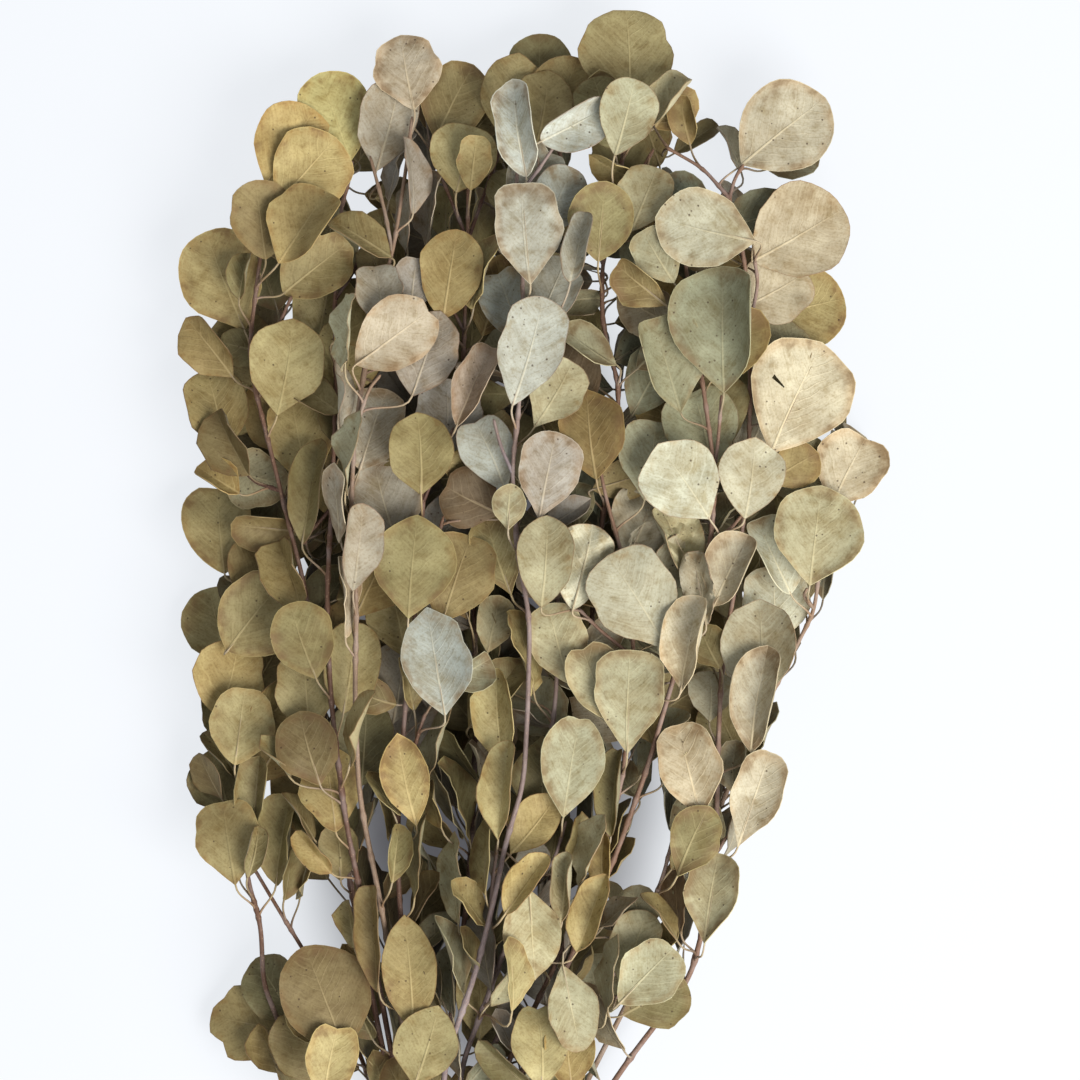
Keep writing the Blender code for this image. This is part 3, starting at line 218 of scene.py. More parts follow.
# Each branch: its place in the tie (row from the table, place in the row), its stem and twigs
# as (x, y, depth) and its leaves as (x, y, length, width, heading, depth, form).
# Depth is 0 on the table and 1 at the top of the pile; a heading of 0 points along +Y,
# and 90 along +X. The tones are those of its leaves in turn. A kind is that of the blade with
# the same place in the list, counted from 0; the other blades' kinds are left to the draw.
BRANCHES = {
    "outer_left": {
        "slot": (1, 0),
        "wood": "redwood",
        "kinds": {1: "nibbled", 4: "whole", 6: "whole"},
        "tones": (
            "gold gold gold gold gold bronze olive olive sage olive bronze olive bronze "
            "moss bronze olive"
        ),
        "stem": [
            (-72, 2, 0.5), (-89, 90, 0.6), (-100, 160, 0.62), (-111, 240, 0.72), (-124, 293, 0.85),
            (-141, 360, 0.85), (-136, 405, 0.75), (-131, 440, 0.7), (-124, 462, 0.7),
        ],
        "twigs": [
            [(-124, 293, 0.85), (-140, 300, 0.75), (-152, 318, 0.6)],
            [(-111, 240, 0.72), (-130, 238, 0.55), (-146, 252, 0.5)],
            [(-141, 360, 0.85), (-128, 372, 0.8), (-119, 392, 0.8)],
        ],
        "leaves": [
            (-120, 467, 44, 39, 32, 0.8, "flat"), (-112, 454, 43, 41, 40, 0.86, "flat"),
            (-113, 426, 42, 39, 34, 0.92, "curl_right"), (-107, 406, 40, 33, 52, 0.8, "cup"),
            (-153, 400, 52, 40, -22, 0.78, "flat"), (-160, 366, 36, 27, -38, 0.6, "curl_right"),
            (-122, 355, 45, 37, 10, 0.92, "flat"), (-158, 336, 40, 32, -12, 0.62, "cup"),
            (-140, 302, 37, 30, 108, 0.78, "flat"), (-156, 277, 46, 35, -6, 0.6, "flat"),
            (-135, 256, 42, 35, 22, 0.5, "cup"), (-137, 232, 44, 41, 40, 0.72, "flat"),
            (-129, 330, 40, 32, -30, 0.55, "dome"), (-147, 340, 40, 34, 25, 0.45, "flat"),
            (-136, 432, 40, 35, 4, 0.5, "flat"), (-104, 384, 40, 34, 12, 0.55, "flat"),
        ],
    },
    "low_left": {
        "slot": (0, 0),
        "wood": "redwood",
        "tones": "gold olive moss gold moss bronze bronze olive moss",
        "stem": [
            (-119, 2, 0.35), (-126, 25, 0.5), (-134, 47, 0.62), (-135, 77, 0.66), (-142, 100, 0.62),
            (-146, 140, 0.5), (-148, 172, 0.45), (-146, 205, 0.4), (-142, 235, 0.35),
        ],
        "twigs": [],
        "leaves": [
            (-151, 200, 38, 36, 14, 0.66, "flat"), (-145, 177, 38, 33, 8, 0.82, "flat"),
            (-156, 149, 32, 31, -22, 0.7, "flat"), (-151, 119, 42, 34, -10, 0.85, "flat"),
            (-125, 120, 45, 31, 6, 0.62, "fold"), (-132, 206, 42, 34, 30, 0.4, "flat"),
            (-128, 166, 40, 34, 28, 0.45, "flat"), (-158, 226, 40, 34, -14, 0.3, "flat"),
            (-150, 182, 36, 30, -24, 0.25, "flat"),
        ],
    },
    "bottom_left": {
        "slot": (0, 1),
        "wood": "redwood",
        "kinds": {0: "whole", 1: "torn"},
        "tones": "khaki olive moss bronze olive",
        "stem": [(-84, 5, 0.25), (-98, 35, 0.42), (-112, 61, 0.55), (-126, 84, 0.6), (-141, 108, 0.5)],
        "twigs": [[(-98, 35, 0.42), (-108, 24, 0.4), (-118, 18, 0.35)]],
        "leaves": [
            (-102, 41, 52, 43, -20, 0.9, "flat"), (-141, 24, 42, 37, -78, 0.55, "flat"),
            (-128, 42, 36, 31, -34, 0.4, "cup"), (-112, 16, 40, 33, -24, 0.62, "flat"),
            (-95, 8, 40, 30, 6, 0.45, "cup"),
        ],
    },
    "inner_left": {
        "slot": (2, 0),
        "wood": "redwood",
        "tones": "straw olive moss olive khaki sage olive olive bronze olive moss olive moss",
        "stem": [
            (-68, 2, 0.55), (-78, 60, 0.62), (-92, 130, 0.86), (-99, 190, 0.96), (-101, 240, 0.96),
            (-99, 285, 0.9), (-97, 340, 0.72), (-98, 390, 0.62), (-96, 430, 0.6), (-89, 460, 0.66),
        ],
        "twigs": [
            [(-99, 285, 0.9), (-110, 274, 0.85), (-113, 268, 0.84)],
            [(-98, 390, 0.62), (-88, 405, 0.6), (-80, 425, 0.55)],
        ],
        "leaves": [
            (-98, 482, 45, 36, -20, 0.78, "flat"), (-112, 193, 40, 29, -5, 0.8, "flat"),
            (-110, 294, 50, 27, 8, 0.82, "fold"), (-99, 146, 41, 31, -6, 0.88, "dome"),
            (-108, 168, 38, 33, -24, 0.66, "flat"), (-100, 418, 38, 32, -10, 0.45, "cup"),
            (-116, 322, 42, 34, -12, 0.66, "flat"), (-92, 360, 42, 33, 10, 0.6, "flat"),
            (-114, 140, 40, 33, -20, 0.55, "flat"), (-90, 206, 44, 30, 8, 0.8, "cup"),
            (-112, 222, 40, 32, -16, 0.7, "flat"), (-84, 176, 42, 30, 12, 0.75, "edge"),
            (-103, 130, 36, 31, -16, 0.6, "flat"),
        ],
    },
    "left_silver": {
        "slot": (2, 1),
        "wood": "ash",
        "tones": (
            "beige beige taupe taupe taupe beige beige taupe beige taupe beige sage beige "
            "sage beige beige beige moss"
        ),
        "stem": [
            (-60, 2, 0.6), (-75, 90, 0.7), (-85, 142, 0.88), (-87, 190, 0.97), (-86, 240, 0.98),
            (-89, 285, 0.96), (-87, 325, 0.94), (-79, 375, 0.85), (-68, 415, 0.8), (-62, 455, 0.8),
            (-59, 482, 0.8),
        ],
        "twigs": [
            [(-68, 415, 0.8), (-74, 440, 0.8), (-80, 462, 0.8)],
            [(-87, 325, 0.94), (-80, 345, 0.98), (-74, 352, 1.0)],
        ],
        "leaves": [
            (-71, 478, 47, 29, 14, 0.88, "flat"), (-62, 505, 38, 33, -10, 0.75, "flat"),
            (-67, 458, 36, 24, 8, 0.7, "edge"), (-57, 452, 38, 24, 4, 0.9, "edge_left"),
            (-50, 436, 38, 26, 6, 0.78, "edge"), (-64, 432, 36, 24, -6, 0.9, "edge"),
            (-75, 392, 31, 26, -10, 1.02, "cup"), (-57, 398, 27, 22, 10, 0.98, "flat"),
            (-67, 371, 46, 33, 54, 1.04, "flat"), (-51, 362, 42, 36, 22, 0.8, "flat"),
            (-79, 325, 42, 36, 14, 0.9, "cup"), (-92, 372, 40, 24, 2, 0.95, "edge"),
            (-94, 342, 38, 22, 0, 1.0, "edge_left"), (-90, 312, 40, 24, 6, 1.0, "edge"),
            (-95, 288, 38, 24, -4, 1.0, "edge"), (-86, 266, 42, 26, 8, 1.02, "curl_left"),
            (-90, 242, 40, 24, 4, 1.02, "edge_left"), (-70, 420, 38, 30, -16, 0.7, "fold"),
        ],
    },
    "centre_left": {
        "slot": (1, 1),
        "wood": "redwood",
        "kinds": {1: "whole"},
        "tones": (
            "moss moss bronze umber steel rose gold olive olive beige olive sage moss "
            "bronze taupe"
        ),
        "stem": [
            (-56, 2, 0.55), (-66, 90, 0.62), (-66, 140, 0.66), (-62, 190, 0.72), (-57, 235, 0.8),
            (-53, 290, 0.8), (-51, 335, 0.62), (-55, 375, 0.5), (-60, 405, 0.45),
        ],
        "twigs": [
            [(-57, 235, 0.8), (-48, 262, 0.84), (-43, 282, 0.84)],
            [(-66, 140, 0.66), (-60, 160, 0.72), (-52, 184, 0.85)],
            [(-53, 290, 0.8), (-44, 312, 0.82), (-38, 326, 0.84)],
        ],
        "leaves": [
            (-55, 312, 38, 32, -3, 1.04, "flat"), (-58, 256, 48, 39, 5, 1.04, "flat"),
            (-36, 252, 44, 38, 18, 0.85, "flat"), (-29, 290, 33, 31, -64, 0.95, "dome"),
            (-46, 208, 50, 36, -10, 1.04, "cup"), (-28, 347, 43, 27, 22, 0.95, "fold"),
            (-61, 150, 44, 24, -12, 0.9, "cup"), (-61, 52, 56, 28, -2, 0.97, "cup"),
            (-52, 18, 40, 31, 18, 1.0, "flat"), (-72, 288, 42, 36, -16, 0.7, "flat"),
            (-68, 232, 42, 32, -14, 0.78, "cup"), (-46, 170, 42, 28, 16, 0.7, "edge"),
            (-56, 112, 42, 26, 4, 0.85, "edge"), (-78, 72, 52, 24, -6, 0.8, "fold"),
            (-42, 330, 40, 34, 0, 0.7, "flat"),
        ],
    },
    "upper_centre": {
        "slot": (0, 2),
        "wood": "redwood",
        "tones": "gold olive olive gold gold olive olive olive moss bronze olive sage moss",
        "stem": [
            (-45, 2, 0.3), (-36, 52, 0.4), (-29, 115, 0.45), (-27, 190, 0.5), (-29, 260, 0.5),
            (-34, 325, 0.5), (-33, 375, 0.6), (-31, 420, 0.7), (-31, 448, 0.74),
        ],
        "twigs": [
            [(-33, 375, 0.6), (-38, 384, 0.64), (-41, 388, 0.66)],
            [(-31, 420, 0.7), (-42, 446, 0.66), (-50, 466, 0.62)],
            [(-31, 420, 0.7), (-22, 446, 0.62), (-14, 470, 0.55)],
        ],
        "leaves": [
            (-38, 490, 42, 33, 26, 0.62, "flat"), (-33, 461, 35, 32, 12, 0.8, "flat"),
            (-28, 458, 27, 18, 6, 0.98, "flat"), (-9, 492, 40, 31, 8, 0.62, "flat"),
            (-40, 402, 42, 31, 8, 0.9, "flat"), (-44, 438, 36, 24, 0, 0.6, "edge"),
            (-24, 430, 38, 26, 6, 0.66, "edge_left"), (-26, 404, 38, 26, 8, 0.72, "edge"),
            (-30, 372, 42, 34, 4, 0.5, "flat"), (-18, 392, 40, 30, 18, 0.5, "cup"),
            (-24, 38, 42, 26, 6, 0.74, "cup"), (-38, 100, 42, 28, -6, 0.75, "edge"),
            (-34, 142, 44, 28, -10, 0.7, "edge_left"),
        ],
    },
    "silver_centre": {
        "slot": (2, 2),
        "wood": "bloom",
        "kinds": {3: "wavy", 6: "wavy"},
        "tones": (
            "silver silver steel steel steel steel steel taupe sage steel sage steel steel "
            "olive"
        ),
        "stem": [
            (-44, 6, 0.92), (-28, 52, 0.97), (-20, 82, 0.98), (-12, 120, 0.98), (-3, 150, 0.97),
            (-1, 188, 0.97), (0, 231, 0.98), (-6, 262, 1.0), (-9, 303, 1.02), (-5, 340, 1.0),
            (-3, 395, 0.95), (-7, 440, 0.93), (-6, 462, 0.95),
        ],
        "twigs": [
            [(-7, 440, 0.93), (4, 454, 0.95), (12, 466, 0.98)],
            [(-5, 340, 1.0), (4, 362, 0.96), (12, 378, 0.92)],
            [(-9, 303, 1.02), (-15, 318, 1.0), (-18, 330, 0.98)],
        ],
        "leaves": [
            (-6, 474, 46, 32, -10, 1.1, "fold"), (22, 477, 36, 27, 62, 1.15, "curl_left"),
            (1, 451, 38, 28, 40, 1.0, "cup"), (-2, 422, 50, 34, -5, 1.12, "flat"),
            (23, 415, 36, 22, 8, 0.95, "fold"), (10, 393, 38, 29, 26, 0.98, "flat"),
            (-1, 363, 54, 33, 16, 1.15, "flat"), (9, 302, 43, 31, 12, 1.05, "flat"),
            (-10, 286, 22, 16, 4, 1.12, "flat"), (-20, 312, 40, 28, -24, 0.9, "cup"),
            (12, 342, 38, 28, 30, 0.85, "flat"), (-10, 388, 38, 28, -18, 0.85, "cup"),
            (13, 438, 38, 26, 24, 0.9, "flat"), (-16, 262, 40, 28, -18, 0.85, "cup"),
        ],
    },
    "upper_right": {
        "slot": (1, 3),
        "wood": "redwood",
        "kinds": {0: "nibbled", 1: "whole"},
        "tones": "olive sage sage moss sage moss bronze moss olive bronze moss gold umber bronze",
        "stem": [
            (-25, 2, 0.5), (-4, 45, 0.5), (9, 92, 0.5), (19, 140, 0.5), (27, 190, 0.5),
            (32, 240, 0.55), (36, 278, 0.6), (41, 315, 0.66), (45, 345, 0.7), (36, 378, 0.72),
            (36, 408, 0.72), (44, 445, 0.66), (48, 474, 0.62),
        ],
        "twigs": [
            [(36, 408, 0.72), (24, 440, 0.62), (14, 466, 0.55)],
            [(44, 445, 0.66), (54, 452, 0.7), (62, 466, 0.72)],
        ],
        "leaves": [
            (49, 512, 46, 46, -2, 0.78, "flat"), (49, 481, 40, 29, 10, 0.98, "flat"),
            (68, 488, 33, 30, 40, 1.0, "fold"), (36, 428, 38, 32, 6, 0.95, "flat"),
            (57, 440, 34, 28, 22, 0.9, "flat"), (46, 460, 36, 31, -6, 0.62, "flat"),
            (70, 437, 34, 28, 40, 0.72, "dome"), (5, 506, 38, 32, -2, 0.5, "flat"),
            (17, 494, 38, 31, 20, 0.62, "flat"), (30, 322, 42, 33, -8, 1.0, "flat"),
            (35, 486, 38, 30, -14, 0.5, "flat"), (24, 372, 38, 30, -16, 0.6, "cup"),
            (22, 352, 36, 28, -24, 0.66, "flat"), (56, 470, 36, 28, 34, 0.5, "flat"),
        ],
    },
    "right_inner": {
        "slot": (2, 4),
        "wood": "rosewood",
        "kinds": {2: "whole", 5: "whole", 6: "whole", 7: "crumpled", 9: "crumpled"},
        "tones": "sage bronze green green green mint mint sage tan tan gold gold",
        "stem": [
            (-5, 2, 0.6), (20, 60, 0.62), (42, 110, 0.68), (58, 155, 0.82), (68, 190, 0.94),
            (79, 228, 0.95), (90, 268, 0.97), (92, 303, 0.98), (87, 340, 0.95), (80, 385, 0.9),
            (76, 420, 0.88), (66, 452, 0.86),
        ],
        "twigs": [
            [(80, 385, 0.9), (90, 392, 0.95), (92, 398, 0.98)],
            [(92, 303, 0.98), (94, 326, 1.0), (95, 342, 1.04)],
            [(90, 268, 0.97), (100, 276, 1.0), (105, 282, 1.02)],
        ],
        "leaves": [
            (63, 411, 30, 24, -30, 1.05, "flat"),
            (55, 397, 31, 24, -50, 0.98, "curl_right"), (96, 373, 58, 54, 0, 1.16, "curl_right"),
            (68, 357, 48, 44, -16, 1.0, "curl_left"), (86, 326, 42, 36, -14, 0.86, "flat"),
            (77, 298, 41, 39, -34, 1.12, "flat"), (109, 300, 38, 32, 8, 1.14, "flat"),
            (74, 268, 40, 30, -26, 0.96, "curl_left"), (100, 255, 38, 30, 26, 1.0, "curl_right"),
            (84, 246, 36, 26, -10, 1.04, "fold"), (70, 330, 40, 32, -40, 0.75, "cup"),
            (66, 385, 40, 32, -28, 0.72, "flat"),
        ],
    },
    "far_right": {
        "slot": (1, 4),
        "wood": "rosewood",
        "kinds": {0: "whole", 1: "whole", 4: "holed", 13: "whole"},
        "tones": "tan tan tan olive cream tan tan tan sage umber sage sage tan mint",
        "stem": [
            (45, 2, 0.5), (80, 48, 0.5), (88, 80, 0.62), (93, 112, 0.72), (94, 170, 0.78),
            (96, 210, 0.78), (104, 255, 0.75), (109, 300, 0.72), (110, 335, 0.75), (110, 378, 0.75),
            (107, 412, 0.78), (99, 444, 0.75),
        ],
        "twigs": [
            [(99, 444, 0.75), (86, 456, 0.85), (68, 466, 0.9)],
            [(99, 444, 0.75), (103, 452, 0.8), (107, 458, 0.82)],
            [(110, 378, 0.75), (114, 398, 0.8), (112, 410, 0.86)],
            [(93, 112, 0.72), (97, 120, 0.74), (99, 122, 0.75)],
        ],
        "leaves": [
            (127, 475, 52, 44, 50, 0.86, "flat"), (133, 423, 52, 46, 58, 0.92, "flat"),
            (121, 394, 42, 36, 62, 0.8, "flat"), (136, 386, 44, 38, 76, 0.66, "flat"),
            (133, 340, 57, 51, 26, 0.95, "flat"), (113, 190, 50, 36, 6, 1.0, "fold"),
            (111, 141, 50, 28, 18, 0.95, "cup"), (79, 156, 46, 33, -14, 1.0, "cup"),
            (90, 92, 45, 30, 10, 0.85, "cup"), (72, 92, 38, 26, -10, 0.7, "edge"),
            (122, 362, 40, 34, 36, 0.6, "flat"), (84, 126, 36, 27, -14, 0.75, "flat"),
            (114, 322, 40, 33, 22, 0.7, "flat"), (88, 424, 47, 38, -76, 1.1, "flat"),
        ],
    },
    "outer_right": {
        "slot": (0, 4),
        "wood": "ash",
        "tones": "tan sage sage mint mint sage mint olive olive",
        "stem": [
            (32, 2, 0.3), (56, 50, 0.32), (80, 100, 0.35), (100, 145, 0.4), (118, 185, 0.48),
            (135, 219, 0.6), (143, 235, 0.66), (146, 266, 0.72), (148, 284, 0.72),
        ],
        "twigs": [
            [(143, 235, 0.66), (137, 242, 0.7), (139, 246, 0.72)],
            [(118, 185, 0.48), (117, 198, 0.6), (115, 204, 0.7)],
        ],
        "leaves": [
            (160, 304, 41, 35, 26, 0.82, "flat"), (143, 272, 48, 44, 8, 0.98, "flat"),
            (135, 304, 38, 33, -14, 0.7, "flat"), (125, 235, 42, 37, 2, 0.86, "flat"),
            (114, 214, 47, 40, -4, 1.0, "cup"), (132, 256, 40, 34, -14, 0.62, "cup"),
            (122, 262, 40, 32, -24, 0.72, "curl_left"), (126, 288, 38, 30, -20, 0.55, "flat"),
            (100, 172, 38, 29, -24, 0.5, "cup"),
        ],
    },
    "mid_right": {
        "slot": (2, 3),
        "wood": "rosewood",
        "kinds": {0: "wavy", 1: "wavy", 3: "crumpled", 7: "crumpled"},
        "tones": "mint sage tan mint sage sage sage tan sage sage sage moss",
        "stem": [
            (-14, 2, 0.5), (12, 55, 0.54), (34, 105, 0.6), (46, 150, 0.74), (49, 175, 0.88),
            (52, 212, 0.88), (48, 255, 0.88), (38, 290, 0.85), (34, 310, 0.84),
        ],
        "twigs": [
            [(49, 175, 0.88), (62, 196, 0.94), (67, 210, 0.98)],
            [(52, 212, 0.88), (36, 224, 0.9), (24, 236, 0.92)],
        ],
        "leaves": [
            (54, 238, 54, 43, -32, 1.16, "flat"), (49, 190, 50, 36, 2, 1.12, "flat"),
            (79, 219, 48, 38, 12, 1.04, "fold"), (26, 256, 42, 31, 14, 1.08, "flat"),
            (8, 258, 44, 31, 4, 0.92, "cup"), (15, 218, 40, 31, -16, 0.98, "flat"),
            (34, 200, 42, 30, -24, 0.9, "cup"), (56, 278, 42, 36, 22, 0.8, "flat"),
            (60, 310, 42, 34, 10, 0.7, "flat"), (64, 170, 40, 28, 24, 0.84, "edge"),
            (30, 116, 38, 24, 18, 0.84, "edge"), (41, 145, 44, 24, 2, 0.88, "fold"),
        ],
    },
    "low_centre": {
        "slot": (1, 2),
        "wood": "bloom",
        "tones": "olive olive gold sage sage sage olive moss sage olive olive olive sage olive",
        "stem": [
            (-36, 2, 0.6), (-18, 50, 0.66), (-4, 90, 0.7), (6, 140, 0.74), (13, 190, 0.74),
            (14, 230, 0.7), (12, 285, 0.66), (14, 320, 0.6),
        ],
        "twigs": [
            [(-18, 50, 0.66), (-20, 90, 0.78), (-16, 120, 0.88)],
            [(-4, 90, 0.7), (12, 110, 0.78), (18, 130, 0.82)],
        ],
        "leaves": [
            (-16, 182, 46, 32, -8, 0.86, "fold"), (-14, 146, 48, 27, 4, 1.0, "fold"),
            (2, 129, 36, 24, 38, 0.98, "cup"), (21, 158, 50, 34, 10, 0.98, "cup"),
            (17, 98, 34, 26, 4, 1.02, "tube"), (1, 76, 42, 29, 176, 1.08, "cup"),
            (-2, 101, 36, 24, 34, 1.05, "fold"), (-24, 222, 42, 28, -20, 0.7, "edge"),
            (22, 186, 40, 28, 22, 0.8, "edge"), (-8, 60, 40, 28, 20, 0.72, "edge_left"),
            (0, 214, 42, 28, -6, 0.8, "edge_left"), (30, 84, 40, 30, 18, 0.85, "fold"),
            (-38, 64, 40, 26, -14, 0.82, "edge_left"), (6, 18, 42, 30, 4, 0.85, "cup"),
        ],
    },
    "low_right": {
        "slot": (0, 3),
        "wood": "bloom",
        "kinds": {3: "wavy"},
        "tones": "sage sage moss sage olive sage moss sage olive",
        "stem": [(12, 2, 0.4), (33, 37, 0.45), (52, 68, 0.5), (66, 98, 0.55), (74, 130, 0.6)],
        "twigs": [[(33, 37, 0.45), (42, 40, 0.55), (46, 42, 0.6)]],
        "leaves": [
            (58, 54, 38, 31, 44, 0.96, "flat"), (52, 66, 37, 27, 18, 0.8, "cup"),
            (63, 39, 35, 29, 66, 0.62, "flat"), (21, 37, 44, 28, 168, 1.04, "cup"),
            (19, 14, 40, 27, -6, 0.9, "cup"), (40, 52, 38, 28, 6, 0.85, "edge"),
            (84, 122, 38, 27, 14, 0.7, "flat"), (34, 44, 36, 28, 28, 0.6, "flat"),
            (46, 80, 36, 27, -4, 0.75, "edge_left"),
        ],
    },
}

# Leaves pressed flat on the table under the bunch, which it rests on: x, y, heading
PRESSED = {
    "outer_left": [(-128, 300, -20), (-112, 420, 16)],
    "low_left": [(-140, 176, -14)],
    "bottom_left": [(-90, 38, 30)],
    "upper_centre": [(-40, 350, -8), (-20, 160, 14), (-26, 455, 10)],
    "outer_right": [(96, 190, 20), (118, 262, 34)],
    "low_right": [(24, 66, 10)],
    "far_right": [(112, 345, 14)],
}
PRESSED_LENGTH = 44.0
PRESSED_WIDTH = 37.0

# Outline of the leaves in plan, which those inside the pile keep to
OUTLINE = [
    (-172, 395), (-176, 365), (-172, 290), (-158, 240), (-168, 195), (-172, 150), (-166, 112),
    (-140, 90), (-118, 78), (-128, 55), (-154, 30), (-140, 8), (-100, -30), (-60, -42), (20, -36),
    (30, 4), (40, 26), (68, 46), (80, 70), (100, 95), (124, 160), (124, 200), (142, 230), (162, 262),
    (176, 305), (158, 345), (152, 385), (150, 425), (148, 470), (120, 492), (102, 478), (84, 496),
    (48, 530), (26, 515), (-4, 508), (-34, 505), (-62, 520), (-80, 498), (-114, 488), (-134, 470),
    (-138, 430),
]
# Places where the table shows between the leaves: x, y, radius
GAPS = [
    (-82, 452, 7), (-82, 438, 7), (-66, 462, 4), (27, 459, 5), (28, 446, 4), (84, 463, 8),
    (94, 466, 8), (74, 461, 5), (96, 454, 5), (109, 449, 6), (124, 450, 4), (37, 412, 5),
    (39, 396, 7), (38, 378, 8), (42, 356, 9), (42, 340, 6), (-29, 381, 4), (-128, 92, 11),
    (-112, 85, 13), (-100, 94, 9), (-104, 72, 9), (-134, 104, 5), (-77, 124, 5), (-75, 110, 5),
    (-78, 36, 5), (-73, 22, 6), (-128, 146, 4), (-55, 350, 4), (62, 140, 7), (58, 124, 9),
    (52, 108, 8), (66, 112, 5), (44, 99, 5), (50, 24, 9), (58, 14, 9), (42, 10, 6),
]


def pile_height(x, y):
    """Height of the top of the pile above the table, at a place in plan."""
    across = max(0.0, 1.0 - ((x - PILE_MIDDLE) / PILE_HALF_WIDTH) ** 2)
    height = PILE_HEIGHT_EDGE + (PILE_HEIGHT_MIDDLE - PILE_HEIGHT_EDGE) * math.sqrt(across)
    if y < PILE_FULL_LOW:
        share = max(0.0, (y - PILE_LOW_END) / (PILE_FULL_LOW - PILE_LOW_END))
        height *= PILE_LOW_SHARE + (1.0 - PILE_LOW_SHARE) * share
    if y > PILE_FULL_TOP:
        share = min(1.0, (y - PILE_FULL_TOP) / (PILE_TOP_END - PILE_FULL_TOP))
        height *= 1.0 - (1.0 - PILE_TOP_SHARE) * share
    return height


def in_pile(x, y, depth):
    """A place in the pile as a point, depth 0 on the table and 1 at the top."""
    return Vector((x, y, max(STEM_RADIUS_LOW + PILE_BED, depth * pile_height(x, y))))


def points_at(x, y):
    """How pointed the leaves are at a place in plan: the range of their bases and of their tips."""
    if x < ROUND_LEFT_X or y > ROUND_TOP_Y:
        return ROUND_LEAVES
    if y < POINTED_TOP_Y and POINTED_X[0] < x < POINTED_X[1]:
        return POINTED_LEAVES
    return WEDGE_LEAVES


def slot_place(slot):
    """Where a stem passes through the tie, in x and z."""
    row, place = slot
    shift = ROW_SHIFT if row % 2 else -ROW_SHIFT
    x = TIE_X + (place - (STEMS_IN_A_ROW - 1) / 2 + shift) * STEM_PITCH
    z = TIE_WALL + TIE_GAP + STEM_RADIUS_LOW + row * STEM_ROW_PITCH
    return x, z


def stem_points(branch, draw):
    """The main stem from its cut end, through the tie and up among the leaves."""
    x, z = slot_place(branch["slot"])
    end_x = TIE_X + (x - TIE_X) * STEM_END_SPREAD
    cut_end = Vector((end_x, STEM_END_Y - draw.uniform(0.0, STEM_END_STAGGER), z))
    below = Vector((x, TIE_Y - STEM_STRAIGHT, z))
    above = Vector((x, TIE_Y + STEM_STRAIGHT, z))
    first = in_pile(*branch["stem"][0])
    points = [cut_end, below, above, above.lerp(first, 0.5)]
    points.extend(in_pile(*place) for place in branch["stem"])
    return points


def walk(points, step):
    """Places at even steps along a run of points, each with its direction."""
    places = []
    for start, end in zip(points, points[1:]):
        count = max(1, round((end - start).length / step))
        direction = (end - start).normalized()
        for index in range(count):
            places.append((start.lerp(end, index / count), direction))
    direction = (points[-1] - points[-2]).normalized()
    places.append((points[-1] - direction * ROOT_SINK, direction))
    return places


